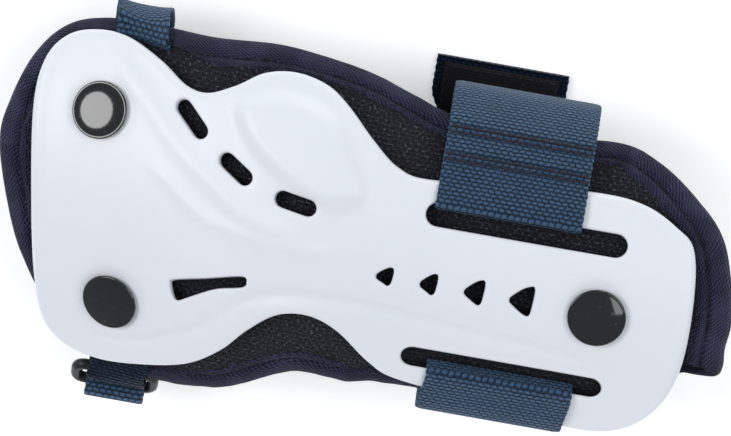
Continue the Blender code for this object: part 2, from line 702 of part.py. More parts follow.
def strap_ring():
    """A rectangular ring. Its object stands on its hinge bar's axis."""
    half = RING_WIDTH / 2 - RING_BAR_RADIUS
    corner = RING_CORNER
    outline = []
    for x, y, start in ((half, RING_DEPTH, 90), (half, 0, 0), (-half, 0, -90), (-half, RING_DEPTH, -180)):
        inward_y = -1 if y > 0 else 1
        center = (x - math.copysign(corner, x), y + inward_y * corner)
        for angle in np.radians(np.linspace(start, start - 90, 4)):
            outline.append((center[0] + corner * math.cos(angle), center[1] + corner * math.sin(angle)))
    curve = bpy.data.curves.new("strap_ring", "CURVE")
    curve.dimensions = "3D"
    curve.bevel_depth = RING_BAR_RADIUS * MM
    curve.bevel_resolution = 2
    path = curve.splines.new("POLY")
    path.points.add(len(outline) - 1)
    path.use_cyclic_u = True
    for point, (x, y) in zip(path.points, outline):
        point.co = (x * MM, y * MM, 0, 1)
    obj = new_object("strap_ring", curve, PARTS, "black_satin")
    obj.rotation_euler = (math.radians(180 + RING_SLOPE), 0, 0)
    obj.location = on_guard((lengthwise(HAND_STRAP_RING_X), *ring_axis()))


def turned(name, profile, frame, material_name, sides):
    """A profile of (radius, height) turned about the frame's Z, from its outer top downwards."""
    bm = bmesh.new()
    verts = [bm.verts.new((radius * MM, 0, height * MM)) for radius, height in profile]
    for a, b in zip(verts, verts[1:]):
        bm.edges.new((a, b))
    if profile[0] == profile[-1]:
        bmesh.ops.remove_doubles(bm, verts=bm.verts, dist=1e-7)
    mesh = bpy.data.meshes.new(name)
    bm.to_mesh(mesh)
    bm.free()
    obj = new_object(name, mesh, PARTS, material_name)
    screw = obj.modifiers.new("turn", "SCREW")
    screw.steps = screw.render_steps = sides
    screw.use_merge_vertices = True
    screw.merge_threshold = 0.00001
    screw.use_smooth_shade = True
    obj.matrix_world = frame
    return obj


def rivets():
    """Each rivet is a domed cap whose post goes through the plate and cover into a washer."""
    for name in RIVETS:
        x, s = rivet_place(name)
        axis = outer_normal(x, s)
        turn = axis.to_track_quat("Z", "Y").to_matrix().to_4x4()
        frame = Matrix.Translation(on_guard(outer_face(x, s))) @ turn
        reach = WASHER_TOP + WASHER
        dome = [(CAP_RADIUS * math.sin(a), FIT + 0.7 + (CAP_HEIGHT - 0.7) * math.cos(a))
                for a in np.radians((0, 22, 42, 60, 76, 90))]  # fmt: skip
        cap = dome + [(CAP_RADIUS, FIT), (POST_RADIUS, FIT), (POST_RADIUS, -reach), (0, -reach)]
        turned(f"rivet_cap_{name}", cap, frame, "black_gloss", 20)
        top, bottom = -WASHER_TOP, -reach
        bore = POST_RADIUS + FIT
        ring = [(WASHER_RADIUS, top), (WASHER_RADIUS, bottom), (bore, bottom), (bore, top)]
        ring.append(ring[0])
        turned(f"rivet_washer_{name}", ring, frame, "washer_black", 16)


for old in list(bpy.data.objects):
    bpy.data.objects.remove(old)
PARTS = new_collection("wrist_guard")
CUTTERS = new_collection("cutters")
palm_plate()
rivets()
palm_layers()
palm_bindings()
back_layers()
back_binding()
side_gusset()
wrist_strap()
wrist_strap_tail()
wrist_loop_patch()
hand_strap()
hand_strap_end()
ring_tab()
strap_ring()
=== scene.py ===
"""The looks of a wrist guard: a white moulded plate riveted to a padded, bound sleeve, with two
webbing straps. Shapes are worked out in millimetres, with x counted from the wrist crease, and
to_frame turns them into the frame's metres. An unrolled place on the plate is (x, s): s is the
length round the bend from the crest."""

import math

import bpy
import numpy as np
from mathutils import Matrix, Vector
from mathutils.geometry import delaunay_2d_cdt


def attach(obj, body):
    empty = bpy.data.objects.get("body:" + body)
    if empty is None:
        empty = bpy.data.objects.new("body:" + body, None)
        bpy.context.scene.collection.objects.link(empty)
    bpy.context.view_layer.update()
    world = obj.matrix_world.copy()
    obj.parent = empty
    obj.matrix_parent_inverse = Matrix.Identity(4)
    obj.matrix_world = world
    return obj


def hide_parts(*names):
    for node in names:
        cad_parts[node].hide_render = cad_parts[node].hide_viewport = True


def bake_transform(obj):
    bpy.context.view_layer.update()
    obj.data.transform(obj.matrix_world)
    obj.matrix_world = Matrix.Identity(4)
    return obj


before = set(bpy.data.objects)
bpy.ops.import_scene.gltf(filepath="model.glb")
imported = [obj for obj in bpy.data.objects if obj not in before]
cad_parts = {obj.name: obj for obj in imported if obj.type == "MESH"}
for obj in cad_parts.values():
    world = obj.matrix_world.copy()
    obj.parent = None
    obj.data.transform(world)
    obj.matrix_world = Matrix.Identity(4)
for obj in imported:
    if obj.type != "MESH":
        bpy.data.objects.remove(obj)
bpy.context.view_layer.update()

MM = 0.001
CREASE_X = 36.0  # from the wrist crease to the frame's origin

# The plate's bend
PLATE_TOP = 60.0
FOREARM_RADIUS = 63.0
HAND_RADIUS = 93.0
HAND_PITCH = math.radians(19.5)
BEND_START, BEND_LENGTH = 20.0, 70.0
PITCH_START, PITCH_LENGTH = 22.0, 78.0

# Layers, by their depth under the plate's outer face
PLATE = 2.6
WEBBING = 1.4
UNDER_PLATE = 3.65
OVER_PLATE = -1.0
PAD_TOP = 4.7
PAD_BOTTOM = 11.3
LINING = 1.0

# Heights over the ground, on which the back of the guard lies
OUTER_RUN = 0.7
HOOK_HEIGHT = 2.05
LOOP_HEIGHT = 3.05
INNER_RUN = 4.4
BACK_BOTTOM = 5.5
BACK_TOP = 13.7
BACK_FLAT = 16.0
BACK_RISE_RADIUS = 34.0

# Strap slots in the plate: middle lines, half width and ends
THUMB_SLOT_Y, LITTLE_SLOT_Y = 18.0, -21.1
SLOT_HALF = 3.1
SLOT_START, SLOT_END = 15.0, 67.4

# The stay's pocket and the side wall
STAY_START, STAY_END, STAY_HALF = -24.0, 72.0, 13.5
WALL_START, WALL_END = -34.0, 74.0
WALL_FOOT = -25.6
WALL_BULGE = 9.0
WALL_HALF = 0.6

# Straps and ring
WRIST_X = 36.0
WRIST_WIDTH = 38.0
WRIST_SKEW = 4.0
TAIL_SHIFT = 7.3
WRIST_SEAMS = (31.6, 32.8, 38.0, 39.2)
WRIST_HOOK_HALF = 15.4
HAND_WIDTH = 15.5
THUMB_X, RING_X = -65.6, -57.2
RING_BAR = 1.5
RING_HALF, RING_CORNER = 10.1, 2.2
RING_DEPTH = 7.4
RING_SLOPE = math.radians(45.6)
TAIL_Y, TAIL_END_Y = 22.0, 45.0
FLAP_Y, FLAP_END_Y = -18.0, 8.0
SCALLOP_PITCH = 1.96
UPWARDS = (0.0, 0.0, 1.0)

# Sewing
TAPE_WIDTH = 6.2
SEAM_INSET = 3.0
STITCH_SPACING = 2.9
CREASE_IN = 6.0  # a wide tape's crease, from its outer edge
RIVETS = {"thumb": (-72.1, 24.2), "little": (-61.4, -24.8), "forearm": (62.7, -0.8)}

PLATE_OUTLINE = (
    (-89.3, 21), (-88.3, 33), (-83.5, 40), (-76, 43.2), (-68, 43.3), (-59, 39.9), (-52, 35.9),
    (-46, 35.3), (-39, 38.7), (-32, 43.3), (-24, 45), (-15.5, 43.6), (-9, 39.7), (-1, 32.7),
    (6, 27.7), (14, 26.1), (34, 28.4), (58, 30), (70, 29), (79, 25), (84.4, 20), (86.6, 6),
    (86.3, -12), (82, -25), (73, -33.3), (60, -35), (38, -32), (15, -29.1), (7, -25.4),
    (-2, -18.2), (-10, -15.3), (-18, -16.9), (-25, -23.2), (-31, -31), (-39, -37.6), (-50, -41.6),
    (-62, -43.9), (-71.5, -42.2), (-78.2, -36), (-82.2, -23), (-86, -2),
)
SLEEVE_OUTLINE = (
    (-97, 8), (-96, 19), (-92, 31), (-85, 40), (-76, 44), (-62, 45.4), (-48, 46.1),
    (-31, 48.2), (-18, 47.8), (-5, 46), (7, 42.6), (19, 39.3), (38, 38.6), (60, 39.2), (72, 36.5),
    (83, 31.2), (90.5, 24), (94.5, 14), (96.8, 2), (96.4, -6), (96.8, -11), (95.8, -13.7),
    (91, -14.3), (86.5, -14.6), (84, -19), (79, -27), (68, -31.6), (44, -32.6), (20, -33.4),
    (4, -34), (-8, -33.2), (-15, -35), (-23, -39.8), (-31, -44.2), (-44, -46.4), (-58, -46.6),
    (-69, -43.6), (-78, -34.5), (-85.5, -23), (-91.5, -10),
)
BACK_OUTLINE = (
    (-44, 0), (-44, 12), (-42.5, 21), (-38.5, 26), (-30, 28), (0, 28), (40, 28), (64, 28),
    (75, 25), (84, 18.5), (89.5, 10), (92.5, 0), (94, -9), (92, -17), (84, -22.5), (74, -26.5),
    (60, -28), (40, -28), (0, -28), (-30, -28), (-38.5, -26), (-42.5, -21), (-44, -12),
)
SLANT_VENTS = (
    ((-51, 30.3), (-46, 25.8)), ((-37.6, 20.2), (-32.6, 17.3)), ((-21.8, 14.2), (-15, 13.4)),
)
WEDGE_VENT = (
    (-46.9, -15.4), (-46.1, -14.1), (-38, -11.4), (-28.9, -8.4), (-27.4, -9.6), (-28.3, -11.4), (-35, -13.7),
    (-41.5, -17.9), (-44.2, -19.7), (-45.6, -18.8),
)
SLANT_HALF = 2.2
PICK_VENTS = ((5.2, 9.5, 2.6), (16.6, 21, 3.0), (28.1, 33.2, 3.5), (39.9, 46, 4.1))

# Relief of the plate: a raised dome at the thumb's base, then two ridges, a swell and a groove, each
# with its height, its width and the length over which its ends run out
DOME = ((-38, 35), (-25, 40.5), (-11, 36.5), (-3, 26), (0, 18.5), (-8, 13.5), (-18, 15.5), (-33, 24.5))
LINES = (
    (((-78, 39), (-71, 39), (-66, 34), (-60, 29), (-50, 20), (-40, 13.6), (-28, 7), (-10, 5)), 0.62, 2.6, 12),
    (((-61, 17), (-52, 11.5), (-42, 5), (-31, 2.6), (-20, 2.0), (0, 4)), 0.5, 1.9, 12),
    (((-58, -10), (-42, -8), (-26, -6)), 0.14, 1.2, 12),
    (((-70, -34), (-64.5, -36), (-54, -35), (-44, -30), (-37, -25), (-30, -17.5), (-24, -13),
      (-16, -10.4), (-5, -9.2), (5, -9.2), (18, -10.1), (34, -11.3), (50, -12.5), (59, -14),
      (66, -18)), -0.9, 1.5, 10),
)


# Surfaces


def to_frame(points):
    """Millimetres from the wrist crease, as metres in the frame."""
    return (np.asarray(points, float) - (CREASE_X, 0, 0)) * MM


def ease(t):
    """A smooth step: three times t squared less twice t cubed, for t from 0 to 1."""
    t = np.clip(t, 0, 1)
    return t * t * (3 - 2 * t)


def bell(t):
    """A bell curve: e to the minus t squared."""
    return np.exp(-(t**2))


def bend_radius(x):
    """The bend's radius eases from the forearm's to the hand's."""
    return FOREARM_RADIUS + (HAND_RADIUS - FOREARM_RADIUS) * ease((BEND_START - x) / BEND_LENGTH)


def outer_face(x, s):
    """An arc across the guard, on a crest that is level and then eases down at the hand's pitch."""
    t = np.maximum((PITCH_START - x) / PITCH_LENGTH, 0)
    fall = np.where(t < 1, t**3 - t**4 / 2, t - 0.5)
    crest = PLATE_TOP - math.tan(HAND_PITCH) * PITCH_LENGTH * fall
    radius = bend_radius(x)
    return np.stack([x, radius * np.sin(s / radius), crest - radius * (1 - np.cos(s / radius))], axis=-1)


def unit(vectors):
    return vectors / np.linalg.norm(vectors, axis=-1, keepdims=True)


def outer_normal(x, s):
    """Across the slopes that half a millimetre either way gives."""
    along = outer_face(x + 0.5, s) - outer_face(x - 0.5, s)
    across = outer_face(x, s + 0.5) - outer_face(x, s - 0.5)
    return unit(np.cross(along, across))


def palm_point(x, s, depth):
    """The outer face's point, moved in along its normal."""
    x, s = np.asarray(x, float), np.asarray(s, float)
    return outer_face(x, s) - np.asarray(depth, float)[..., None] * outer_normal(x, s)


def girth(x, y, depth=0.0):
    """The length round the bend of a point that is y from the middle, at that depth."""
    radius = bend_radius(np.asarray(x, float))
    return radius * np.arcsin(np.clip(np.asarray(y, float) / (radius - depth), -1, 1))


def unrolled(points, depth=0.0):
    """Points (x, y) as places (x, s)."""
    points = np.array(points, float)
    return np.stack([points[:, 0], girth(points[:, 0], points[:, 1], depth)], axis=1)


def back_point(x, s, height):
    """A trough: flat in the middle, its sides turned up on an arc."""
    beyond = np.maximum(np.abs(s) - BACK_FLAT, 0) / BACK_RISE_RADIUS
    radius = BACK_RISE_RADIUS - (height - BACK_BOTTOM)
    y = np.minimum(np.abs(s), BACK_FLAT) + radius * np.sin(beyond)
    return np.stack([x, np.sign(s) * y, height + radius * (1 - np.cos(beyond))], axis=-1)


# Curves


def spline(points, steps=12, closed=False):
    """A Catmull-Rom curve through the points."""
    p = np.array(points, float)
    if closed:
        p = np.vstack([p[-1], p, p[:2]])
    else:
        p = np.vstack([2 * p[0] - p[1], p, 2 * p[-1] - p[-2]])
    a, b, c, d = (p[k : len(p) - 3 + k, None] for k in range(4))
    t = np.linspace(0, 1, steps, endpoint=False)[None, :, None]
    bent = (2 * a - 5 * b + 4 * c - d) * t**2
    curve = b + 0.5 * ((c - a) * t + bent + (3 * b - a - 3 * c + d) * t**3)
    curve = curve.reshape(-1, p.shape[1])
    return curve if closed else np.vstack([curve, p[-2]])


def lengths_along(line):
    """The length of a broken line up to each of its points."""
    return np.concatenate([[0], np.cumsum(np.linalg.norm(np.diff(line, axis=0), axis=1))])


def sampled(places, run, values):
    """Each column of values, read at places between the known runs."""
    return np.stack([np.interp(places, run, column) for column in values.T], axis=-1)


def evenly(curve, spacing, closed=False):
    """The curve again, with points at equal lengths along it."""
    if closed:
        curve = np.vstack([curve, curve[:1]])
    run = lengths_along(curve)
    count = max(int(round(run[-1] / spacing)), 2)
    places = np.linspace(0, run[-1], count + 1)
    if closed:
        places = places[:-1]
    return sampled(places, run, curve)


def outline_normals(outline):
    """Inward normals of a closed outline that runs clockwise, seen from outside."""
    along = unit(np.roll(outline, -1, axis=0) - np.roll(outline, 1, axis=0))
    return np.stack([along[:, 1], -along[:, 0]], axis=1)


def distance_to(points, line, closed=True):
    """The distance of each point to a broken line."""
    a = np.asarray(line, float)
    b = np.roll(a, -1, axis=0)
    if not closed:
        a, b = a[:-1], b[:-1]
    best = np.full(len(points), np.inf)
    for start in range(0, len(a), 64):
        p, q = a[None, start : start + 64], b[None, start : start + 64]
        step = q - p
        share = ((points[:, None] - p) * step).sum(-1) / np.maximum((step**2).sum(-1), 1e-12)
        near = p + np.clip(share, 0, 1)[..., None] * step
        best = np.minimum(best, np.linalg.norm(points[:, None] - near, axis=-1).min(axis=1))
    return best


def inside(points, outline):
    """Whether each point is inside the outline, by counting crossings."""
    a, b = outline[None], np.roll(outline, -1, axis=0)[None]
    x, y = points[:, None, 0], points[:, None, 1]
    spans = (a[..., 1] > y) != (b[..., 1] > y)
    height = np.where(b[..., 1] == a[..., 1], 1.0, b[..., 1] - a[..., 1])
    meets = a[..., 0] + (y - a[..., 1]) * (b[..., 0] - a[..., 0]) / height
    return ((spans & (x < meets)).sum(axis=1) % 2) == 1


def depth_in(points, outline):
    """The distance of each point to the outline, counted below zero outside it."""
    return distance_to(points, outline) * np.where(inside(points, outline), 1, -1)


def capsule(start, end, radius):
    """A half circle round each end of a line."""
    start, end = np.array(start, float), np.array(end, float)
    heading = math.atan2(*(end - start)[::-1])
    turn = np.linspace(0, math.pi, 16)
    rim = []
    for center, first in ((start, math.pi / 2), (end, -math.pi / 2)):
        angle = heading + first + turn
        rim.append(center + radius * np.stack([np.cos(angle), np.sin(angle)], axis=1))
    return np.vstack(rim)


# Meshes


def signed_volume(verts, faces):
    """Six times the volume: the sum of the faces' corner products."""
    total = 0.0
    for f in faces:
        for k in range(1, f.shape[1] - 1):
            a, b, c = verts[f[:, 0]], verts[f[:, k]], verts[f[:, k + 1]]
            total += (a * np.cross(b, c)).sum()
    return total


def piece(name, verts, faces, uvs, finish, slot, body="root", replaced=()):
    """A closed mesh from arrays of corners. Its faces are turned outwards if its volume is negative."""
    if signed_volume(verts, faces) < 0:
        faces, uvs = [f[:, ::-1] for f in faces], [u[:, ::-1] for u in uvs]
    mesh = bpy.data.meshes.new(name)
    mesh.vertices.add(len(verts))
    mesh.vertices.foreach_set("co", to_frame(verts).astype(np.float32).ravel())
    corners = np.concatenate([f.ravel() for f in faces]).astype(np.int32)
    sizes = np.concatenate([np.full(len(f), f.shape[1]) for f in faces])
    mesh.loops.add(len(corners))
    mesh.loops.foreach_set("vertex_index", corners)
    mesh.polygons.add(len(sizes))
    starts = np.cumsum(sizes) - sizes
    mesh.polygons.foreach_set("loop_start", starts.astype(np.int32))
    mesh.update(calc_edges=True)
    layer = mesh.uv_layers.new(name="UVMap")
    flat = np.concatenate([u.reshape(-1, 2) for u in uvs])
    layer.data.foreach_set("uv", flat.astype(np.float32).ravel())
    mesh.shade_smooth()
    mesh.materials.append(finish)
    made = bpy.data.objects.new(name, mesh)
    bpy.context.scene.collection.objects.link(made)
    if body:
        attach(made, body)
    if replaced:
        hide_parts(*replaced)
    return made


def carried_faces(rows, columns, along, around, closed):
    """Quads of a closed section carried along a path. Each end is closed by pairing its points."""
    i, j = np.meshgrid(np.arange(rows if closed else rows - 1), np.arange(columns), indexing="ij")
    i, j = i.ravel(), j.ravel()
    corner = np.array([[i, j], [i, j + 1], [i + 1, j + 1], [i + 1, j]])
    quads = ((corner[:, 0] % rows) * columns + corner[:, 1] % columns).T
    uv = np.stack([along[corner[:, 0]], around[corner[:, 1]]], axis=-1).transpose(1, 0, 2)
    faces, uvs = [quads], [uv]
    if not closed:
        k = np.arange(columns // 2 - 1)
        pairs = np.stack([k, k + 1, columns - 2 - k, columns - 1 - k], axis=1)
        for row, order in ((0, pairs), (rows - 1, pairs[:, ::-1])):
            faces.append(row * columns + order)
            uvs.append(np.stack([np.full(order.shape, along[row]), around[order]], axis=-1))
    return faces, uvs


def carried(name, points, along, around, finish, slot, closed=False, **kept):
    """A piece from section points (row, column). If it is closed, along has one value more."""
    rows, columns = points.shape[:2]
    faces, uvs = carried_faces(rows, columns, along, around, closed)
    return piece(name, points.reshape(-1, 3), faces, uvs, finish, slot, **kept)


def cut_sheet(outline, cell, rim_steps=(0, 0.5, 1.2, 2.2), holes=(), hole_steps=()):
    """Triangles of a flat sheet: rings of points follow its edge and holes, and a grid fills it."""
    rings = [outline + outline_normals(outline) * step for step in rim_steps]
    for hole in holes:
        outwards = -outline_normals(hole)
        if inside((hole + 0.05 * outwards)[:1], hole)[0]:
            outwards = -outwards
        rings += [hole + outwards * step for step in hole_steps]
    low, high = outline.min(axis=0), outline.max(axis=0)
    columns, rows = np.arange(low[0], high[0], cell), np.arange(low[1], high[1], cell * 0.87)
    gx, gy = np.meshgrid(columns, rows, indexing="ij")
    gx = gx + (np.arange(gx.shape[1]) % 2)[None] * cell / 2
    fill = np.stack([gx.ravel(), gy.ravel()], axis=1)
    keep = inside(fill, outline) & (distance_to(fill, outline) > rim_steps[-1] + cell * 0.5)
    for hole in holes:
        keep &= ~inside(fill, hole) & (distance_to(fill, hole) > hole_steps[-1] + cell * 0.4)
    points, edges = [fill[keep]], []
    start = int(keep.sum())
    for ring in rings:
        number = np.arange(len(ring)) + start
        edges += list(zip(number.tolist(), np.roll(number, -1).tolist()))
        points.append(ring)
        start += len(ring)
    flat = [Vector(p) for p in np.vstack(points)]
    found = delaunay_2d_cdt(flat, edges, [], 0, 1e-7)
    verts = np.array([tuple(v) for v in found[0]])
    tris = np.array(found[2])
    middle = verts[tris].mean(axis=1)
    keep = inside(middle, outline)
    for hole in holes:
        keep &= ~inside(middle, hole)
    return verts, tris[keep]


def slab(name, verts, tris, top, bottom, finish, slot, **kept):
    """A closed slab: the same flat triangles on top and bottom, which are 3-D points, and a wall."""
    count = len(verts)
    edges = np.concatenate([tris[:, [0, 1]], tris[:, [1, 2]], tris[:, [2, 0]]])
    key = np.sort(edges, axis=1)
    _, first, uses = np.unique(key, axis=0, return_index=True, return_counts=True)
    rim = edges[first[uses == 1]]
    walls = np.stack([rim[:, 1], rim[:, 0], rim[:, 0] + count, rim[:, 1] + count], axis=1)
    faces = [tris, tris[:, ::-1] + count, walls]
    flat = np.vstack([verts, verts])
    uvs = [flat[f] for f in faces]
    return piece(name, np.vstack([top, bottom]), faces, uvs, finish, slot, **kept)


def rounded(distance, radius):
    """How far a surface has dropped at that distance from its edge, for a quarter-round edge."""
    t = np.clip(1 - distance / radius, 0, 1)
    return radius * (1 - np.sqrt(1 - t * t))


# Materials


class Wire:
    """A shader value. Sums and products with numbers or other values add Math nodes."""

    def __init__(self, finish, socket):
        self.finish = finish
        self.socket = socket

    def math(self, operation, *others):
        values = dict(enumerate((self, *others)))
        return self.finish.node("ShaderNodeMath", {"operation": operation}, values)

    def __add__(self, other):
        return self.math("ADD", other)

    __radd__ = __add__

    def __sub__(self, other):
        return self.math("SUBTRACT", other)

    def __rsub__(self, other):
        return (self * -1) + other

    def __mul__(self, other):
        return self.math("MULTIPLY", other)

    __rmul__ = __mul__

    def __truediv__(self, other):
        return self.math("DIVIDE", other)

    def power(self, other):
        return self.math("POWER", other)

    def sin(self):
        return self.math("SINE")

    def fract(self):
        return self.math("FRACT")

    def floor(self):
        return self.math("FLOOR")

    def absolute(self):
        return self.math("ABSOLUTE")

    def clamp(self):
        return self.finish.node("ShaderNodeClamp", {}, {"Value": self})

    def over(self, low, high):
        """A smooth step from low to high."""
        inputs = {"Value": self, "From Min": low, "From Max": high}
        return self.finish.node("ShaderNodeMapRange", {"interpolation_type": "SMOOTHSTEP"}, inputs)


class Finish:
    """A material under construction."""

    def __init__(self, name, **constants):
        self.material = bpy.data.materials.new(name)
        self.material.use_nodes = True
        self.tree = self.material.node_tree
        self.shader = self.tree.nodes["Principled BSDF"]
        for socket, value in constants.items():
            socket = socket.replace("_", " ").title().replace("Ior", "IOR")
            if isinstance(value, tuple):
                value = (*value, 1.0)
            self.shader.inputs[socket].default_value = value

    def node(self, kind, settings, inputs, output=0):
        made = self.tree.nodes.new(kind)
        for key, value in settings.items():
            setattr(made, key, value)
        for key, value in inputs.items():
            if isinstance(value, Wire):
                self.tree.links.new(value.socket, made.inputs[key])
            else:
                made.inputs[key].default_value = value
        return Wire(self, made.outputs[output])

    def axes(self, source="UV"):
        place = self.node("ShaderNodeTexCoord", {}, {}, source)
        split = self.tree.nodes.new("ShaderNodeSeparateXYZ")
        self.tree.links.new(place.socket, split.inputs[0])
        return [Wire(self, split.outputs[k]) for k in range(3)], place

    def noise(self, scale, detail=2.0, place=None, stretch=None):
        place = place or self.axes("Object")[1]
        if stretch:
            place = self.node("ShaderNodeMapping", {}, {"Vector": place, "Scale": stretch})
        inputs = {"Vector": place, "Scale": scale, "Detail": detail}
        return self.node("ShaderNodeTexNoise", {}, inputs)

    def mix(self, share, low, high):
        inputs = {0: share}
        for key, value in ((6, low), (7, high)):
            inputs[key] = value if isinstance(value, Wire) else (*value, 1.0)
        return self.node("ShaderNodeMix", {"data_type": "RGBA"}, inputs, 2)

    def color(self, value):
        self.tree.links.new(value.socket, self.shader.inputs["Base Color"])

    def rough(self, value):
        self.tree.links.new(value.socket, self.shader.inputs["Roughness"])

    def bump(self, height, distance, strength=1.0):
        inputs = {"Height": height, "Distance": distance, "Strength": strength}
        made = self.node("ShaderNodeBump", {}, inputs)
        self.tree.links.new(made.socket, self.shader.inputs["Normal"])
        return self.material


def moulded_white():
    f = Finish("moulded_white", specular_ior_level=0.42)
    cloudy = f.noise(28, 3)
    grain = f.noise(2600, 2)
    scuffs = f.noise(60, 5, stretch=(1.0, 14.0, 3.0)).over(0.66, 0.78)
    f.color(f.mix(cloudy * 0.7 + scuffs * 0.25, (0.80, 0.832, 0.888), (0.73, 0.762, 0.822)))
    f.rough(0.34 + cloudy * 0.08 + scuffs * 0.16)
    return f.bump(grain + scuffs * 0.3, 0.00003, 0.35)


def gloss_black():
    f = Finish("rivet_black", specular_ior_level=0.6, coat_weight=0.5)
    dust = f.noise(900, 4).over(0.62, 0.8)
    waves = f.noise(260, 1)
    f.color(f.mix(dust * 0.35, (0.004, 0.004, 0.005), (0.11, 0.11, 0.115)))
    f.rough(0.09 + dust * 0.35)
    return f.bump(waves, 0.00004, 0.25)


def satin_black():
    f = Finish("ring_black", specular_ior_level=0.3)
    grain = f.noise(1500, 3)
    f.color(f.mix(grain, (0.006, 0.006, 0.007), (0.022, 0.022, 0.023)))
    f.rough(0.3 + grain * 0.18)
    return f.bump(grain, 0.00004, 0.4)


def spacer_mesh(name, dark, light, pitch=2.1):
    """Knitted spacer fabric: rows of open cells between zigzag yarns, with bright flecks that are partly
    light grey yarn and partly painted glints.
    """
    f = Finish(name, specular_ior_level=0.22, sheen_weight=0.03, sheen_roughness=0.5)
    (u, v, _), place = f.axes()
    jitter = f.noise(0.35, 2, place)
    row = v / (pitch * 0.62)
    side = (row.floor() / 2).fract()
    across = ((u + jitter * 0.8) / pitch + side).fract() - 0.5
    down = row.fract() - 0.5
    hole = (across * across * 3.2 + down * down * 4.4).over(0.62, 0.22)
    yarn = ((u * 3.1 + v * 5.3).sin() * (u * 4.7 - v * 3.9).sin()).absolute()
    # The flecks: partly light grey yarn, partly painted glints.
    fleck = f.noise(1.5, 3, place).over(0.52, 0.66) * (1 - hole * 0.8)
    f.color(f.mix((fleck * 0.75 + yarn * 0.12 * (1 - hole)).clamp(), dark, light))
    f.rough(0.72 + fleck * -0.2)
    return f.bump((1 - hole) * 0.8 + yarn * 0.25 + fleck * 0.2, 0.0005, 0.9)


def twill_tape():
    """Folded binding tape: fine diagonal ribs crossed by the weft, faded in random patches."""
    f = Finish("twill_tape", specular_ior_level=0.2, sheen_weight=0.04, sheen_roughness=0.5)
    (u, v, _), place = f.axes()
    drift = f.noise(0.25, 2, place)
    rib = ((u * 0.78 + v * 1.15 + drift * 1.6) * (2 * math.pi / 1.02)).sin()
    weft = ((v - u * 0.12) * (2 * math.pi / 0.52)).sin()
    fade = f.noise(0.12, 3, place).over(0.35, 0.7)
    speck = f.noise(2.2, 3, place)
    light = (rib * 0.28 + weft * 0.16 + fade * 0.3 + speck * 0.5).clamp()
    f.color(f.mix(light, (0.006, 0.007, 0.022), (0.062, 0.064, 0.130)))
    f.rough(0.86 - light * 0.12)
    return f.bump(rib * 0.55 + weft * 0.35 + speck * 0.6, 0.00028, 1.0)


def webbing(name, dark, light, gloss, sheen):
    """Chunky basket weave: rows of raised yarn pillows, each row half a pillow aside from the last. Its
    colour is lighter on the pillows' tops and darker in the gaps: painted highlights and painted shade.
    """
    f = Finish(name, specular_ior_level=gloss, specular_tint=(0.5, 0.75, 1.0), sheen_weight=sheen,
               sheen_roughness=0.35, sheen_tint=(0.45, 0.7, 1.0))
    (u, v, _), place = f.axes()
    drift = f.noise(0.5, 2, place) * 0.5
    row = (u + drift) / 1.05
    side = (row.floor() / 2).fract()
    down = row.fract() * 2 - 1
    slant = down * (side * 4 - 1) * 0.16
    across = ((v + drift) / 1.75 + side + slant).fract() * 2 - 1
    wide = across * across
    pillow = (1 - wide * wide) * (1 - down * down)
    strands = ((v * 2 + u * 0.9) * (2 * math.pi / 0.42)).sin() * 0.5 + 0.5
    tone = f.noise(0.09, 2, place) * 0.3 + f.noise(0.6, 2, place) * 0.5
    # Painted highlights on the pillows' tops and painted shade in the gaps, over a random tone of the yarn.
    high = (pillow.power(2.6) * 0.95 + strands * 0.5 * pillow + tone - 0.5).clamp()
    f.color(f.mix(high, dark, light))
    f.rough(0.72 - pillow * 0.34)
    return f.bump(pillow + strands * 0.2, 0.0011, 1.0)


def hook_tape():
    """Hook tape: rows of tiny stiff hooks, with a few white specks of lint."""
    f = Finish("hook_tape", specular_ior_level=0.25)
    (u, v, _), place = f.axes()
    across = (u / 1.1 + ((v / 0.9).floor() / 2).fract()).fract() - 0.5
    down = (v / 0.9).fract() - 0.5
    hook = (across * across * 4 + down * down * 4).over(0.7, 0.1)
    lint = f.noise(0.55, 5, place).over(0.735, 0.76)
    fuzz = f.noise(6, 3, place)
    tone = f.mix(hook * 0.25 + fuzz * 0.4, (0.002, 0.002, 0.003), (0.014, 0.013, 0.014))
    f.color(f.mix(lint, tone, (0.75, 0.75, 0.75)))
    f.rough(0.55 + fuzz * 0.2)
    return f.bump(hook * 0.4 + fuzz * 0.7 + lint * 0.6, 0.0004, 0.8)


def loop_tape():
    """Loop tape: a fuzzy knitted pile."""
    f = Finish("loop_tape", sheen_weight=0.5, sheen_roughness=0.7)
    place = f.axes()[1]
    pile = f.noise(2.6, 5, place)
    clumps = f.noise(0.5, 3, place)
    f.color(f.mix(pile * 0.7 + clumps * 0.4, (0.010, 0.014, 0.04), (0.05, 0.065, 0.14)))
    f.rough(0.9 + pile * 0.08)
    return f.bump(pile + clumps * 0.4, 0.0007, 0.9)


def sewing_thread():
    """Twisted thread: its strands run slantwise round it."""
    f = Finish("navy_thread", specular_ior_level=0.5)
    (u, v, _), _ = f.axes()
    twist = ((u * 2.2 + v * 1.4) * (2 * math.pi / 0.5)).sin() * 0.5 + 0.5
    f.color(f.mix(twist, (0.006, 0.006, 0.016), (0.028, 0.026, 0.058)))
    f.rough(0.5 + twist * 0.2)
    return f.bump(twist, 0.0001, 0.7)


def inner_plastic(name, dark, light):
    f = Finish(name)
    grain = f.noise(700, 3)
    f.color(f.mix(grain, dark, light))
    f.rough(0.42 + grain * 0.2)
    return f.bump(grain, 0.00008, 0.5)


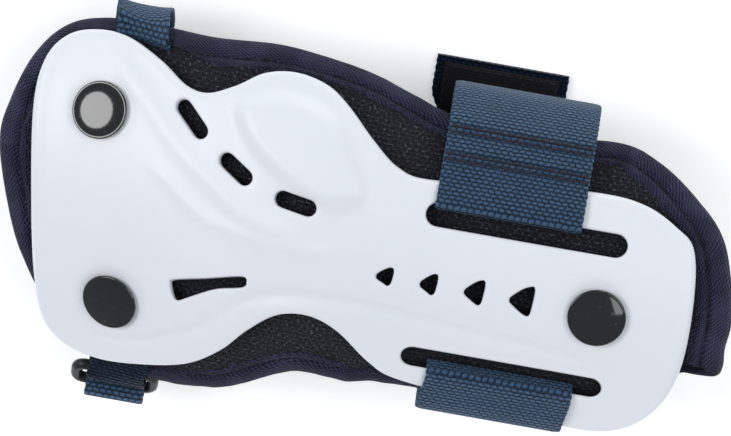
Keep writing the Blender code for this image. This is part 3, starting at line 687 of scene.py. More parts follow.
WHITE = moulded_white()
RIVET = gloss_black()
SATIN = satin_black()
MESH = spacer_mesh("spacer_mesh", (0.004, 0.004, 0.008), (0.090, 0.094, 0.120))
LINER = spacer_mesh("lining_knit", (0.010, 0.010, 0.013), (0.06, 0.06, 0.068), 1.3)
TAPE = twill_tape()
BLUE = webbing("blue_webbing", (0.001, 0.004, 0.014), (0.092, 0.200, 0.385), 0.42, 0.28)
# A darker copy of the blue webbing for the wrist strap's free end and the ring tab: painted shade, for the
# webbing is the same.
SHADED_BLUE = webbing("blue_webbing_painted_shade", (0.002, 0.004, 0.012), (0.018, 0.036, 0.085), 0.12, 0.03)
HOOK = hook_tape()
LOOP = loop_tape()
THREAD = sewing_thread()


# Plate and rivets


def relief(points):
    """How far the plate's face is raised at each (x, y): a dome that eases up inside its outline, lines
    raised or sunk by a bell curve of the distance to them, and a dish round each rivet."""
    height = 2.0 * ease((depth_in(points, spline(DOME, 8, closed=True)) + 1.0) / 5.5)
    for line, raised, width, run_out in LINES:
        line = spline(line, 6)
        away = distance_to(points, line, closed=False)
        start, end = (np.linalg.norm(points - tip, axis=1) for tip in line[[0, -1]])
        height += raised * bell(away / width) * ease(np.minimum(start, end) / run_out)
    for place in RIVETS.values():
        away = np.linalg.norm(points - place, axis=1)
        height -= 0.25 * ease((9.6 - away) / 1.6)
    return height


def pick(tip, flat, half):
    """A vent like a plectrum: a curve through its tip, its shoulders and its flat end."""
    shoulder, waist = flat - 0.7, (tip + flat) / 2
    corners = (
        (tip, -0.4), (tip + 0.3, 0.45), (waist, 0.74 * half), (shoulder, half), (flat, half - 0.7),
        (flat, 0), (flat - 0.3, 0.7 - half), (shoulder - 0.4, -half), (waist, -0.78 * half),
        (tip + 0.3, -1.2),
    )
    return spline(corners, 5, closed=True)


def plate_holes():
    """The two strap slots, three slanting vents, a wedge and four picks, unrolled."""
    holes = []
    for y in (THUMB_SLOT_Y, LITTLE_SLOT_Y):
        ends = unrolled(((SLOT_START + SLOT_HALF, y), (SLOT_END - SLOT_HALF, y)))
        holes.append(capsule(*ends, SLOT_HALF))
    holes += [capsule(*unrolled(pair), SLANT_HALF) for pair in SLANT_VENTS]
    holes.append(unrolled(spline(WEDGE_VENT, 6, closed=True)))
    holes += [pick(*numbers) for numbers in PICK_VENTS]
    return [evenly(hole, 0.7, closed=True) for hole in holes]


def palm_plate():
    """Two faces over the flat outline. Each drops in a quarter round at the rim and the holes, and carries
    the relief and a low bell-shaped lip. The holes' walls are drawn aside on their lower face."""
    outline = evenly(unrolled(spline(PLATE_OUTLINE, 10, closed=True)), 0.9, closed=True)
    outline[:, 0] -= 0.8 * ease((-55 - outline[:, 0]) / 30)
    holes = plate_holes()
    verts, tris = cut_sheet(outline, 1.25, (0, 0.15, 0.4, 0.8, 1.3), holes, (0, 0.1, 0.3, 0.6))
    rim = distance_to(verts, outline)
    hole = np.min([distance_to(verts, h) for h in holes], axis=0)
    radius = bend_radius(verts[:, 0])
    raised = relief(np.stack([verts[:, 0], radius * np.sin(verts[:, 1] / radius)], axis=1))
    raised *= ease(rim / 5) * ease((hole + 0.3) / 2.0)
    lip = 0.35 * bell((rim - 1.9) / 1.3)
    top = rounded(rim, 1.3) + rounded(hole, 0.6) - raised - lip
    bottom = PLATE - rounded(np.minimum(rim, hole), 0.5) - raised * 0.9
    top_points = palm_point(verts[:, 0], verts[:, 1], top)
    slant = math.radians(15) - verts[:, 1] / radius
    drawn = 0.8 * PLATE * np.tan(np.maximum(slant, 0)) * ease((3.6 - hole) / 3.2)
    bottom_points = palm_point(verts[:, 0], verts[:, 1] - drawn, bottom)
    slab("moulded_plate", verts, tris, top_points, bottom_points, WHITE, "white_plastic",
         replaced=["palm_plate"])


def turned(name, profile, center, axis, finish, slot, **kept):
    """A profile of (radius, height) turned about an axis."""
    side = unit(np.cross(axis, (0.0, 1.0, 0.0)))
    other = np.cross(axis, side)
    turn = np.linspace(0, 2 * np.pi, 72, endpoint=False)
    round_about = np.cos(turn)[:, None] * side + np.sin(turn)[:, None] * other
    radius, height = np.array(profile, float).T
    points = center + radius[:, None, None] * round_about + height[:, None, None] * axis
    run = lengths_along(np.array(profile, float))
    return carried(name, points, run, np.linspace(0, 40, len(turn) + 1), finish, slot, **kept)


def rivet_caps():
    """Each cap is a low dome with a rolled edge, on a post."""
    for name, (x, y) in RIVETS.items():
        s = girth(x, y)
        lean = np.linspace(0, 1, 22)
        dome = [(0.02 + 7.1 * t, 0.48 + 1.54 * (1 - t**2.3 * 0.5)) for t in lean]
        edge = [(7.1 + 0.45 * math.sin(a), 0.83 + 0.45 * math.cos(a)) for a in np.linspace(0.25, 2.6, 8)]
        profile = dome + edge + [(6.8, 0.12), (2.5, 0.1), (2.4, -7.0), (0.02, -7.1)]
        turned("cap_" + name, profile, outer_face(x, s), outer_normal(x, s), RIVET, "black_gloss",
               replaced=["rivet_cap_" + name])


# Sleeve


def sleeve_edge(spacing=1.0):
    """The sleeve's outline, with room for the tape's bulge except under the wrist strap."""
    line = evenly(unrolled(spline(SLEEVE_OUTLINE, 10, closed=True), PAD_TOP), spacing, closed=True)
    x, s = line.T
    room = 1.9 - 1.4 * ease((x - 72) / 14) + 0.9 * ease((-78 - x) / 12)
    room = room + 1.2 * bell((x - 64) / 9) * ease(s / 12)
    room = room * (1 - 0.9 * ease((x - 2) / 8) * ease((-16 - s) / 8))
    return evenly(line - outline_normals(line) * room[:, None], spacing, closed=True)


def wander(run, *waves):
    """A slow wobble: a sum of sines of (length, size, phase)."""
    return sum(size * np.sin(2 * np.pi * run / length + phase) for length, size, phase in waves)


def padded_sheet(name, outline, top, bottom, crown, finish, replaced):
    """A padded sheet whose edge is pinched: its faces ease apart with the distance from the edge, and a
    product of slow sines swells them."""
    verts, tris = cut_sheet(outline, 3.0)
    x, s = verts.T
    full = ease((distance_to(verts, outline) + 1.0) / crown)
    middle = (top + bottom) / 2
    half = (bottom - top) / 2 * (0.45 + 0.55 * full)
    soft = wander(x, (31, 0.10, 0.4), (17, 0.06, 2.0)) * wander(s, (23, 1.0, 1.0)) * full
    upper = palm_point(x, s, middle - half + soft)
    lower = palm_point(x, s, middle + half + soft)
    return slab(name, verts, tris, upper, lower, finish, "mesh_black", replaced=replaced)


def palm_pad():
    """The mesh-covered pad under the plate, and the lining that lies on its inner face."""
    edge = sleeve_edge(2.0)
    inner = evenly(edge + outline_normals(edge) * SEAM_INSET, 2.0, closed=True)
    seam = PAD_BOTTOM - LINING
    pad = padded_sheet("palm_pad", inner, PAD_TOP + 0.2, seam - 0.4, 7.0, MESH,
                       ["palm_cover", "palm_foam"])
    lining = padded_sheet("palm_lining_knit", inner, seam - 0.2, PAD_BOTTOM + 0.1, 4.0, LINER,
                          ["palm_lining"])


def bound_edge(name, outline, place, up, top, bottom, width, stitches, panels):
    """Binding tape carried round a panel's edge, with a row of stitches on each face. Its section is half
    round at the edge, puffed between the edge and its seam, and sunk by bell curves at the crease and
    the seam; sums of sines pucker it. place(x, s, depth) gives the points and up(x, s) their normals."""
    inwards = outline_normals(outline)
    run = lengths_along(np.vstack([outline, outline[:1]]))
    along = run[:-1]
    pucker = wander(along, (9.5, 0.10, 0.3), (5.3, 0.06, 1.9), (23, 0.14, 0.8))[:, None]
    share = np.linspace(1, 0, 24)
    width = width[:, None]
    far = width * share[None] + wander(along, (13, 0.25, 1.1), (31, 0.35, 2.5))[:, None] * share**2
    thick = bottom - top
    fold = thick / 2 * (1 - np.sqrt(1 - (1 - np.clip(far / (thick * 0.62), 0, 1)) ** 2))
    crease = 1.5 * bell((far - CREASE_IN) / 0.7) * ease((width - 6.6) / 1.5)
    sunk = fold + 0.35 * bell((far - width + 1.3) / 0.5) + 0.5 * ease((far - width + 0.7) / 0.7)
    sunk -= 0.55 * ease(far / 1.5) * ease((width - far) / 1.5)
    upper = top + sunk + crease + pucker * ease(far / 2)
    lower = bottom - sunk + pucker * ease(far / 2)
    base = outline[:, None] + inwards[:, None] * far[..., None]
    faces = [place(base[..., 0], base[..., 1], depth) for depth in (upper, lower)]
    reach = far.mean(axis=0)
    around = np.concatenate([-reach, reach[::-1], -reach[:1]])
    points = np.concatenate([faces[0], faces[1][:, ::-1]], axis=1)
    carried(name, points, run, around, TAPE, "navy_tape", closed=True, replaced=panels)
    for title, face, side in zip(stitches, faces, (1, -1)):
        stitch_row(title, *row_on(face[:, 3], side * up(base[:, 3, 0], base[:, 3, 1])))


def stitch_row(name, centers, along, up, length=2.1, radius=0.24, body="root"):
    """Short thread bars. Each is a round section carried along an arch that rises as one less the square
    of the way along and dives by its fourth power, and it thins towards its ends."""
    a = np.linspace(-1, 1, 7)
    turn = np.linspace(0, 2 * np.pi, 6, endpoint=False)
    side = unit(np.cross(up, along))
    reach = a * length / 2
    thick = radius * np.sqrt(1 - 0.75 * a**2)
    rise = radius * 0.9 * (1 - a**2) - radius * 0.6 * a**4
    spine = centers[:, None] + reach[None, :, None] * along[:, None] + rise[None, :, None] * up[:, None]
    round_about = np.cos(turn)[None, :, None] * side[:, None] + np.sin(turn)[None, :, None] * up[:, None]
    points = spine[:, :, None] + thick[None, :, None, None] * round_about[:, None]
    faces, uvs = carried_faces(len(a), len(turn), reach, turn[[0, 1, 2, 3, 4, 5, 0]], False)
    size = len(a) * len(turn)
    shift = (np.arange(len(centers)) * size)[:, None, None]
    faces = [(f[None] + shift).reshape(-1, f.shape[1]) for f in faces]
    uvs = [np.broadcast_to(u, (len(centers), *u.shape)).reshape(-1, *u.shape[1:]) for u in uvs]
    piece(name, points.reshape(-1, 3), faces, uvs, THREAD, "navy_tape", body=body)


def row_on(line, up):
    """Places, directions and ups for stitches at equal lengths along a line of 3-D points."""
    run = lengths_along(line)
    places = np.arange(STITCH_SPACING / 2, run[-1], STITCH_SPACING)
    known = (line, np.gradient(line, axis=0), np.broadcast_to(up, line.shape))
    centers, along, ups = (sampled(places, run, values) for values in known)
    return centers, unit(along), unit(ups)


def palm_tape():
    """The sleeve's tape. It is wider at the hand end, the forearm end and along both sides of the wrist,
    and narrows at the cut corner."""
    outline = sleeve_edge(0.9)
    x, y = outline.T
    width = TAPE_WIDTH + 3.0 * ease((-84 - x) / 6) + 3.8 * ease((x - 60) / 9) * ease((y + 20) / 8)
    width = width + 2.6 * ease((y - 20) / 10) * ease((x + 58) / 12) * (1 - ease((x - 58) / 8))
    width = width + 2.6 * ease((-20 - y) / 10) * ease((x + 44) / 10) * (1 - ease((x + 2) / 8))
    width = np.maximum(width - 6.6 * ease((x - 80) / 3) * ease((-10.5 - y) / 3), 2.2)
    panels = ["palm_binding_" + end for end in ("thumb_side", "forearm_end", "little_side", "hand_end")]
    bound_edge("palm_tape", outline, palm_point, outer_normal, PAD_TOP, PAD_BOTTOM, width,
               ("palm_tape_stitches", "palm_tape_inner_stitches"), panels)


def back_outline(margin, spacing):
    """The back panel's outline, moved in by a margin."""
    rim = evenly(spline(BACK_OUTLINE, 10, closed=True), spacing, closed=True)
    return evenly(rim + outline_normals(rim) * margin, spacing, closed=True)


def back_place(x, s, depth):
    """The back panel counts depth downwards, as a height below zero."""
    return back_point(x, s, -depth)


def back_up(x, s):
    """The back panel's stitches all stand straight up or down."""
    return np.broadcast_to(UPWARDS, (*x.shape, 3))


def back_panel():
    """The back pad, whose faces ease apart from its edge, with its lining and its tape. The seam round the
    stay's pocket and the lining's quilt lines are sunk by bell curves."""
    outline = back_outline(SEAM_INSET, 2.0)
    verts, tris = cut_sheet(outline, 2.4)
    full = ease((distance_to(verts, outline) + 1) / 7)
    stay = capsule((STAY_START, 0), (STAY_END, 0), STAY_HALF)
    pocket = depth_in(verts, stay)
    seam = 0.7 * bell((pocket + 0.5) / 0.9) + 0.25 * (1 - ease((pocket + 1) / 3))
    low = BACK_BOTTOM + 1.9 * (1 - full) - 0.2 * full + seam
    high = BACK_TOP - 1.2 - 1.9 * (1 - full)
    x, s = verts.T
    pad = slab("back_pad", verts, tris, back_point(x, s, high), back_point(x, s, low), MESH, "mesh_black",
               replaced=["back_cover", "back_foam"])
    quilt = 0.5 * bell((np.abs(s) - 9) / 0.8) * full
    upper, lower = (back_point(x, s, high + lift) for lift in (0.15 + 1.15 * full - quilt, 0.1))
    lining = slab("back_lining_knit", verts, tris, upper, lower, LINER, "mesh_black",
                  replaced=["back_lining"])
    line = evenly(stay, 1.0, closed=True)
    line = np.vstack([line, line[:1]])
    place = back_point(line[:, 0], line[:, 1], np.full(len(line), BACK_BOTTOM + 0.25))
    stitch_row("stay_pocket_stitches", *row_on(place, (0.0, 0.0, -1.0)))
    outline = back_outline(0.0, 0.9)
    panels = ["back_binding_" + end for end in ("forearm_end", "little_side", "hand_end", "thumb_side")]
    bound_edge("back_tape", outline, back_place, back_up, -BACK_TOP, -BACK_BOTTOM,
               np.full(len(outline), TAPE_WIDTH), ("back_tape_inner_stitches", "back_tape_stitches"), panels)


def side_gusset():
    """The wall on the little-finger side: a parabola from one panel to the other that bulges outwards,
    with slack folds from sines that fade at both panels.
    Its forearm end is bound: an oval section carried along the wall's last edge."""
    edge = sleeve_edge()
    lower = edge[edge[:, 1] < 0]
    lower = lower[np.argsort(lower[:, 0])]
    x = np.linspace(WALL_START, WALL_END, 140)
    s = np.interp(x, lower[:, 0], lower[:, 1])
    top = palm_point(x, s + 1.6, np.full(len(x), PAD_BOTTOM - 0.9))
    bottom = back_point(x, np.full(len(x), WALL_FOOT), np.full(len(x), BACK_TOP - 0.6))
    middle = (top + bottom) / 2 + (0, -WALL_BULGE, 0)
    v = np.linspace(0, 1, 40)[None, :, None]
    wall = top[:, None] * v**2 + middle[:, None] * 2 * v * (1 - v) + bottom[:, None] * (1 - v) ** 2
    slack = wander(x, (19, 0.45, 0.5), (8.7, 0.2, 1.2), (41, 0.5, 2.0))[:, None] * np.sin(np.pi * v[..., 0])
    slack = slack + 0.35 * np.sin(np.pi * (v[..., 0] * 5 + x[:, None] / 37)) * np.sin(np.pi * v[..., 0])
    normal = unit(np.cross(np.gradient(wall, axis=0), np.gradient(wall, axis=1)))
    wall = wall + slack[..., None] * normal
    points = np.concatenate([wall + WALL_HALF * normal, (wall - WALL_HALF * normal)[:, ::-1]], axis=1)
    around = np.concatenate([v[0, :, 0], v[0, ::-1, 0], [0]]) * 34
    made = carried("gusset_wall", points, x, around, MESH, "mesh_black", replaced=["side_gusset"])
    turn = np.linspace(0, 2 * np.pi, 16, endpoint=False)
    section = np.cos(turn)[:, None] * (3.2, 0, 0) + 1.25 * np.sin(turn)[:, None] * normal[-1][:, None]
    around = np.append(turn, 2 * np.pi) * 2.2
    carried("gusset_tape", wall[-1][:, None] + section, lengths_along(wall[-1]), around, TAPE, "navy_tape")


# Straps


def ribbon(stations, width):
    """A strap's line: a curve through stations of x, y, z and the slope of its width. Returns its arc
    lengths, points, width directions and normals, at equal lengths along it."""
    line = evenly(spline(stations, 14), 0.39)
    line[:, 2] = np.maximum(line[:, 2], OUTER_RUN)
    points = line[:, :3]
    across = unit(np.stack([np.ones(len(line)), np.zeros(len(line)), line[:, 3]], axis=1))
    normal = unit(np.cross(np.gradient(points, axis=0), across))
    return {"run": lengths_along(points), "points": points, "across": across, "normal": normal,
            "width": np.full(len(line), width)}


def free_end(stations, width):
    """A strap's flat free end, whose face is straight up."""
    strap = ribbon(stations, width)
    strap["normal"] = np.broadcast_to(UPWARDS, strap["points"].shape)
    return strap


def webbing_strap(name, strap, finish=BLUE, seams=(), curl=0.0, **kept):
    """Woven tape. Its edges are rounded by a circle's arc and scalloped by a sine along it, and bell
    curves pinch it at its seams. Curl lifts its edges by the square of the way across."""
    share = np.sin(np.linspace(-np.pi / 2, np.pi / 2, 16))
    half = WEBBING / 2 * np.maximum(np.sqrt(1 - np.clip((np.abs(share) - 0.94) / 0.06, 0, 1) ** 2), 0.4)
    run = strap["run"]
    scallop = 0.10 * np.sin(2 * np.pi * run / SCALLOP_PITCH)
    reach = (strap["width"] / 2)[:, None] * share
    reach = reach + scallop[:, None] * np.sign(share) * (np.abs(share) > 0.9)
    pinch = np.ones(len(run))
    for place in seams:
        pinch -= 0.5 * bell((run - place) / 0.55)
    lift = np.broadcast_to(curl, run.shape)[:, None] * share**2
    base = strap["points"][:, None] + strap["across"][:, None] * reach[..., None]
    up = strap["normal"][:, None]
    upper = base + up * (lift + half * pinch[:, None])[..., None]
    lower = base + up * (lift - half * pinch[:, None])[..., None]
    points = np.concatenate([upper, lower[:, ::-1]], axis=1)
    around = np.concatenate([share, share[::-1], share[:1]]) * strap["width"].mean() / 2
    return carried(name, points, run, around, finish, "blue_webbing", **kept)


def seam_across(name, strap, run, side, body="root"):
    """A row of stitches across a strap, on the side that its normal points to or on the other."""
    half = np.interp(run, strap["run"], strap["width"]) / 2
    count = max(int(half * 0.94 * 2 / 2.7), 2)
    share = np.linspace(-0.91, 0.91, count)
    point, across, normal = (sampled(np.full(count, run), strap["run"], strap[key])
                             for key in ("points", "across", "normal"))
    place = point + across * (half * share)[:, None] + normal * (side * 0.6)
    stitch_row(name, place, across, normal * side, 2.75, 0.42, body)


def forearm(y, depth):
    """The (y, z) of a point on the forearm's arc, that deep under the plate's face."""
    radius = FOREARM_RADIUS - depth
    return y, PLATE_TOP - FOREARM_RADIUS + math.sqrt(radius**2 - y**2)


def around_slot(slot_y, side):
    """The turn through a slot round its bar, from under the plate to over it."""
    bar = math.asin((slot_y + side * SLOT_HALF) / FOREARM_RADIUS)
    reach = WEBBING / 2 + (0.4 if side > 0 else 0.05)
    slant = reach * math.sqrt(0.5)
    turn = ((4.6, UNDER_PLATE), (1.4, UNDER_PLATE), (-slant, PLATE + slant), (-reach, PLATE - 0.2),
            (-reach, 0.2), (-slant, -slant), (1.4, OVER_PLATE - 0.05), (4.6, OVER_PLATE))
    angles = [bar + side * past / FOREARM_RADIUS for past, _ in turn]
    return [forearm((FOREARM_RADIUS - d) * math.sin(a), d) for a, (_, d) in zip(angles, turn)]


def risen(low, high, points):
    """Points (y, z) from points (y, share), where share runs from the low height to the high one."""
    return [(y, low + (high - low) * share) for y, share in points]


def wrist_strap():
    """Sewn round the thumb-side bar, over the thumb side, round the back inside and up, through the
    little-side slot, and back round the outside as far as its free end."""
    sewn = [forearm(y, d) for y, d in ((40.1, 1.3), (34.8, 2.35), (29.7, UNDER_PLATE))]
    over = ((32.0, OVER_PLATE), (36.7, OVER_PLATE - 0.1), (41.4, OVER_PLATE + 0.25))
    over = [forearm(y, d) for y, d in over]
    drop = ((45.4, 0.806), (46.0, 0.648), (44.0, 0.453), (39.4, 0.246), (32.6, 0.08))
    thumb = risen(INNER_RUN, over[-1][1], drop)
    under = [forearm(y, d) for y, d in ((-34.9, UNDER_PLATE + 0.6), (-31.6, UNDER_PLATE))]
    rise = ((-24, 0.009), (-29.2, 0.072), (-32.9, 0.209), (-34.9, 0.402), (-35.4, 0.66), (-35.1, 0.892))
    across = [forearm(y, d) for y, d in ((-33.4, OVER_PLATE), (-35.9, OVER_PLATE + 1.0))]
    fall = ((-37.0, 0.87), (-37.3, 0.66), (-37.1, 0.41), (-35.2, 0.2205), (-30.4, 0.085), (-25, 0.022))
    route = sewn + around_slot(THUMB_SLOT_Y, 1) + over + thumb + [(25, INNER_RUN + 0.4)]
    route += [(y, INNER_RUN) for y in (18, 0, -18)] + risen(INNER_RUN, under[0][1], rise) + under
    route += around_slot(LITTLE_SLOT_Y, -1) + across + risen(OUTER_RUN, across[-1][1], fall)
    route += [(y, OUTER_RUN) for y in (-19.5, -13, 5, TAIL_Y - 0.45)]
    y, z = np.array(route).T
    x = WRIST_X + WRIST_SKEW * np.clip((20 - y) / 50, 0, 1) + 1.7 * bell((y + 24) / 7)
    strap = ribbon(np.stack([x, y, z, 0 * y], axis=1), WRIST_WIDTH)
    y, z = strap["points"][:, 1], strap["points"][:, 2]
    run = strap["run"]
    elsewhere = 100 * ~((run < 110) & (z > 44)) + 100 * (run < 26)
    seams = [run[np.argmin(np.abs(y - at) + elsewhere)] for at in WRIST_SEAMS]
    webbing_strap("wrist_webbing", strap, seams=seams, replaced=["wrist_strap"])
    outwards = np.sign(strap["normal"][np.searchsorted(run, seams[0]), 2])
    for number, place in enumerate(seams):
        seam_across(f"wrist_seam_{number}", strap, place, outwards)


def patch(name, corners, z, thick, finish, slot, body="root", replaced=()):
    """A flat patch with soft edges over four corners (x, y), given round it from its first."""
    u, v = np.meshgrid(np.linspace(0, 1, 60), np.linspace(0, 1, 30), indexing="ij")
    a, b, c, d = np.array(corners, float)
    flat = (a * ((1 - u) * (1 - v))[..., None] + b * (u * (1 - v))[..., None] + c * (u * v)[..., None]
            + d * ((1 - u) * v)[..., None])
    length, width = np.linalg.norm(b - a), np.linalg.norm(d - a)
    rim = np.minimum(np.minimum(u, 1 - u) * length, np.minimum(v, 1 - v) * width)
    half = thick / 2 * (0.4 + 0.6 * ease(rim / 0.8))
    upper = np.concatenate([flat, (z + half)[..., None]], axis=-1)
    lower = np.concatenate([flat, (z - half)[..., None]], axis=-1)
    points = np.concatenate([upper, lower[:, ::-1]], axis=1)
    around = np.concatenate([v[0], v[0, ::-1], [0]]) * width
    carried(name, points, u[:, 0] * length, around, finish, slot, body=body, replaced=replaced)


def wrist_tail():
    """The free end: it leaves the strap at its full width, and shifts and narrows to its cut end. Its hook
    patch is sewn on near its edges."""
    y = np.linspace(TAIL_Y - 0.5, TAIL_END_Y, 12)
    x = WRIST_X - TAIL_SHIFT * ease((y - TAIL_Y) / 14)
    tail = free_end(np.stack([x, y, OUTER_RUN + 0 * y, 0 * y], axis=1), WRIST_WIDTH)
    tail["width"] = WRIST_WIDTH - 3 * ease(tail["run"] / 14)
    # The free end is drawn in the darker copy of the webbing: painted shade.
    made = webbing_strap("wrist_tail_webbing", tail, finish=SHADED_BLUE, body=None, replaced=["wrist_strap_tail"])
    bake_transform(made)
    middle = WRIST_X - TAIL_SHIFT
    left, right = middle - WRIST_HOOK_HALF, middle + WRIST_HOOK_HALF
    low, high = TAIL_Y + 7.6, TAIL_END_Y - 1.4
    corners = ((left, low), (right, low), (right, high), (left, high))
    patch("wrist_hook", corners, HOOK_HEIGHT - 0.2, 0.9, HOOK, "hook_black", "wrist_strap_end",
          ["wrist_hook_patch"])
    loop = np.array(corners + corners[:1])
    loop += np.sign((middle, TAIL_END_Y - 8) - loop) * 0.9
    loop = evenly(loop, 1.0)
    line = np.column_stack([loop, np.full(len(loop), HOOK_HEIGHT + 0.2)])
    stitch_row("wrist_hook_stitches", *row_on(line, UPWARDS), length=1.7, radius=0.16, body="wrist_strap_end")


def strap_corners(half, start, end):
    """Corners of a patch that follows the hand strap's slant from one y to another."""
    return [(hand_x(y) + side * half, y) for y, side in ((start, -1), (start, 1), (end, 1), (end, -1))]


def loop_patches():
    """The loop patches that the two hook patches close on, sewn to the straps' inner runs."""
    corners = ((19, -17.4), (53, -17.4), (53, 17.4), (19, 17.4))
    patch("wrist_loop", corners, LOOP_HEIGHT, 0.8, LOOP, "loop_navy", replaced=["wrist_loop_patch"])
    corners = strap_corners(6.7, -19.5, 16)
    patch("hand_loop", corners, LOOP_HEIGHT, 0.8, LOOP, "loop_navy", replaced=["hand_loop_patch"])


def hand_x(y):
    """The hand strap's middle moves from the thumb side's x to the ring's as it crosses the back."""
    return THUMB_X + (RING_X - THUMB_X) * min(max((30 - y) / 60, 0.0), 1.0)


def on_pad(x, y, depth):
    """A strap's station on the hand's slope, that deep under the plate's face."""
    point = palm_point(x, girth(x, y, depth), depth)
    return (*point, math.tan(HAND_PITCH))


def ring_axis():
    """The (y, z) of the ring's hinge bar, below the pad's edge on the little-finger side."""
    edge = on_pad(RING_X, -47.4, UNDER_PLATE - 0.4)
    return edge[1] - 1.4, edge[2] - 6.9


def ring_point(distance, offset=0.0):
    """A point in the ring's section, from its hinge bar towards its strap bar, and offset outwards."""
    heading = (-math.cos(RING_SLOPE), -math.sin(RING_SLOPE))
    y, z = ring_axis()
    return y + distance * heading[0] + offset * heading[1], z + distance * heading[1] - offset * heading[0]


def hand_strap():
    """Sewn under the plate at the thumb side, round the back of the hand, through the ring and back."""
    sunk = ((34.5, 7.4), (38.5, 7.2), (41.6, 5.6), (43.6, 3.6), (46.2, 3.1))
    stations = [on_pad(THUMB_X, y, depth) for y, depth in sunk]
    base = stations[-1][2]
    side = ((47.4, 0.868, 0.24), (48.2, 0.706, 0.14), (47.8, 0.537, 0.07), (45.9, 0.361, 0.03))
    stations += [(THUMB_X, y, INNER_RUN + (base - INNER_RUN) * share, slope) for y, share, slope in side]
    stations += [(THUMB_X, y, INNER_RUN + rise, 0) for y, rise in ((42, 2.2), (35.5, 0.3), (29, 0))]
    stations += [(hand_x(y), y, INNER_RUN, 0) for y in (10, -10, -27)]
    ring_y, ring_z = ring_axis()
    window = (RING_DEPTH + 0.6 + WEBBING) / 2
    inner = risen(INNER_RUN, ring_z, ((-35, 0.077), (-41, 0.276), (-45.8, 0.514)))
    outer = risen(OUTER_RUN, ring_z, ((-53.6, 0.445), (-48.5, 0.248), (-41, 0.087), (-33.5, 0.007)))
    turn = ((window - 0.2, -3.6), (window, 0.2), (window + 0.9, 3.0), (RING_DEPTH, 4.3),
            (RING_DEPTH + 2.5, 2.4), (RING_DEPTH + 3.0, -0.6))
    turn = [ring_point(*place) for place in turn]
    stations += [(RING_X, y, z, 0) for y, z in inner + turn + outer + [(-27, OUTER_RUN)]]
    stations.append((hand_x(FLAP_Y), FLAP_Y - 0.45, OUTER_RUN, 0))
    strap = ribbon(stations, HAND_WIDTH)
    strap["width"] = HAND_WIDTH - 1.2 * bell((strap["run"] - 15) / 12)
    curl = -2.3 * bell((strap["run"] - 15.5) / 6.5)
    webbing_strap("hand_webbing", strap, curl=curl, replaced=["hand_strap"])


def hand_flap():
    """The hand strap's free end, folded back onto its loop patch, with its hook patch."""
    y = np.linspace(FLAP_Y - 0.5, FLAP_END_Y, 12)
    flap = free_end([(hand_x(b), b, OUTER_RUN, 0.0) for b in y], HAND_WIDTH)
    made = webbing_strap("hand_flap_webbing", flap, body=None, replaced=["hand_strap_end"])
    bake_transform(made)
    patch("hand_hook", strap_corners(6.6, -14, 5.8), HOOK_HEIGHT - 0.1, 0.75, HOOK, "hook_black",
          "hand_strap_end", ["hand_hook_patch"])
    for number, run in enumerate((4.2, 24.2)):
        seam_across(f"hand_flap_seam_{number}", flap, run, 1, body="hand_strap_end")


def ring_tab():
    """Sewn under the plate on the little-finger side, and looped round the ring's hinge bar."""
    stations = [on_pad(RING_X, -y, UNDER_PLATE) for y in (33.5, 38.5, 43.5)]
    edge = on_pad(RING_X, -47.4, UNDER_PLATE - 0.4)
    stations += [(RING_X, edge[1], edge[2], 0.28), (RING_X, edge[1] - 3.0, edge[2] - 2.3, 0.12)]
    reach = RING_BAR + 0.6 + WEBBING / 2
    y, z = ring_axis()
    for turn in np.radians((165, 205, 245, 285, 320)):
        stations.append((RING_X, y + reach * math.cos(turn), z + reach * math.sin(turn), 0))
    tab = ribbon(stations, HAND_WIDTH)
    # The tab is drawn in the darker copy of the webbing: painted shade.
    webbing_strap("ring_tab_webbing", tab, finish=SHADED_BLUE, replaced=["ring_tab"])


def strap_ring():
    """A moulded rectangular ring: a round bar carried round a rectangle with round corners."""
    half = RING_HALF
    rim = []
    for x, y, start in ((half, RING_DEPTH, 90), (half, 0, 0), (-half, 0, -90), (-half, RING_DEPTH, -180)):
        center = (x - math.copysign(RING_CORNER, x), y + (-RING_CORNER if y > 0 else RING_CORNER))
        angle = np.radians(np.linspace(start, start - 90, 10))
        rim.append(center + RING_CORNER * np.stack([np.cos(angle), np.sin(angle)], axis=1))
    flat = evenly(np.vstack(rim), 0.5, closed=True)
    outwards = -outline_normals(flat)
    heading = np.array((0, -math.cos(RING_SLOPE), -math.sin(RING_SLOPE)))
    level = np.array((1.0, 0, 0))
    up = np.cross(level, heading)
    center = flat[:, :1] * level + flat[:, 1:] * heading + (RING_X - 0.5, *ring_axis())
    out = outwards[:, :1] * level + outwards[:, 1:] * heading
    turn = np.linspace(0, 2 * np.pi, 20, endpoint=False)[None, :, None]
    points = center[:, None] + RING_BAR * (np.cos(turn) * out[:, None] + np.sin(turn) * up)
    run = np.arange(len(flat) + 1) * 0.5
    carried("moulded_ring", points, run, np.linspace(0, 9.4, 21), SATIN, "black_satin", closed=True,
            body="strap_ring", replaced=["strap_ring"])


def hidden_pieces():
    """The washers and the stay are hard plastic inside the padding."""
    inner = inner_plastic("washer_plastic", (0.02, 0.02, 0.021), (0.05, 0.05, 0.052))
    stay = inner_plastic("stay_plastic", (0.04, 0.04, 0.043), (0.08, 0.08, 0.085))
    for name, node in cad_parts.items():
        if name.startswith("rivet_washer") or name == "back_splint":
            node.data.materials.clear()
            node.data.materials.append(stay if name == "back_splint" else inner)
            node.data.shade_flat()


# Camera, light and floor


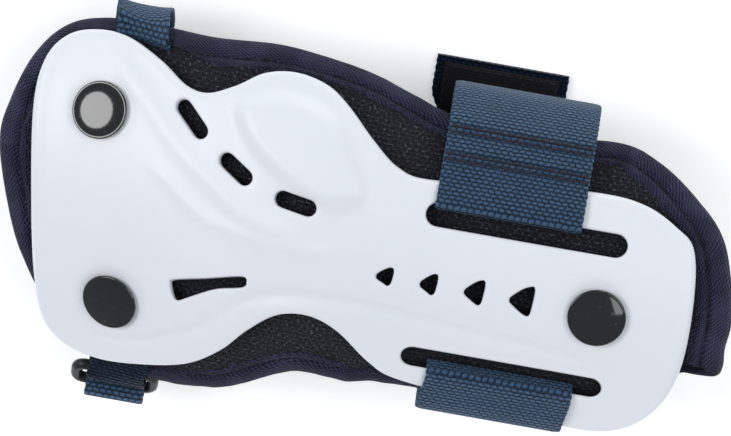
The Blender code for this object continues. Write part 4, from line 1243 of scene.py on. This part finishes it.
def studio():
    """A pale floor, a pale sky and four soft area lights round the guard."""
    floor = Finish("floor", roughness=0.9, emission_color=(1.0, 1.0, 1.0), emission_strength=0.4)
    tone = floor.noise(3, 2)
    floor.color(floor.mix(tone, (0.93, 0.935, 0.945), (0.95, 0.953, 0.96)))
    mesh = bpy.data.meshes.new("floor")
    reach, level = 6.0, -0.0004
    corners = [(x * reach, y * reach, level) for x, y in ((-1, -1), (1, -1), (1, 1), (-1, 1))]
    mesh.from_pydata(corners, [], [(0, 1, 2, 3)])
    mesh.materials.append(floor.material)
    ground = bpy.data.objects.new("floor", mesh)
    bpy.context.scene.collection.objects.link(ground)

    world = bpy.data.worlds.new("studio")
    world.use_nodes = True
    background = world.node_tree.nodes["Background"]
    background.inputs["Color"].default_value = (0.93, 0.96, 1.0, 1)
    background.inputs["Strength"].default_value = 0.36
    bpy.context.scene.world = world
    target = Vector((-0.036, 0.0, 0.04))
    for name, way, distance, size, power, shape in (
        ("key", (0.1, 1.0, 0.12), 1.2, 0.35, 2.0, "SQUARE"),
        ("round", (-0.69, 0.18, 0.72), 3.0, 1.66, 39.0, "DISK"),
        ("low", (0.3, -1.0, 0.4), 2.0, 1.4, 6.0, "SQUARE"),
        ("end", (0.5, 0.2, 0.85), 2.0, 1.3, 13.5, "SQUARE"),
    ):
        light = bpy.data.lights.new(name, "AREA")
        light.shape = shape
        light.size = size
        light.energy = power
        lamp = bpy.data.objects.new(name, light)
        way = Vector(way).normalized()
        lamp.location = target + way * distance
        lamp.rotation_euler = way.to_track_quat("Z", "Y").to_euler()
        bpy.context.scene.collection.objects.link(lamp)


def camera():
    """A long lens that looks at the plate from 16 degrees towards the thumb side, rolled by 10 degrees."""
    lean, roll, distance, width = math.radians(16), math.radians(10), 2.0, 0.1868
    back = Vector((0, math.sin(lean), math.cos(lean)))
    level_up = Vector((0, math.cos(lean), -math.sin(lean)))
    right = Vector((math.cos(roll), 0, 0)) + level_up * math.sin(roll)
    up = back.cross(right)
    aim = Vector((-CREASE_X * MM, 0.0145, 0.060))
    place = aim + back * distance
    made = bpy.data.objects.new("camera", bpy.data.cameras.new("camera"))
    made.data.lens = made.data.sensor_width * distance / width
    made.data.clip_end = 50
    made.matrix_world = Matrix((
        (right.x, up.x, back.x, place.x), (right.y, up.y, back.y, place.y),
        (right.z, up.z, back.z, place.z), (0, 0, 0, 1),
    ))
    bpy.context.scene.collection.objects.link(made)
    bpy.context.scene.camera = made
    bpy.context.scene.view_settings.view_transform = "Standard"


camera()
studio()
palm_plate()
rivet_caps()
palm_pad()
palm_tape()
back_panel()
side_gusset()
wrist_strap()
wrist_tail()
loop_patches()
hand_strap()
hand_flap()
ring_tab()
strap_ring()
hidden_pieces()
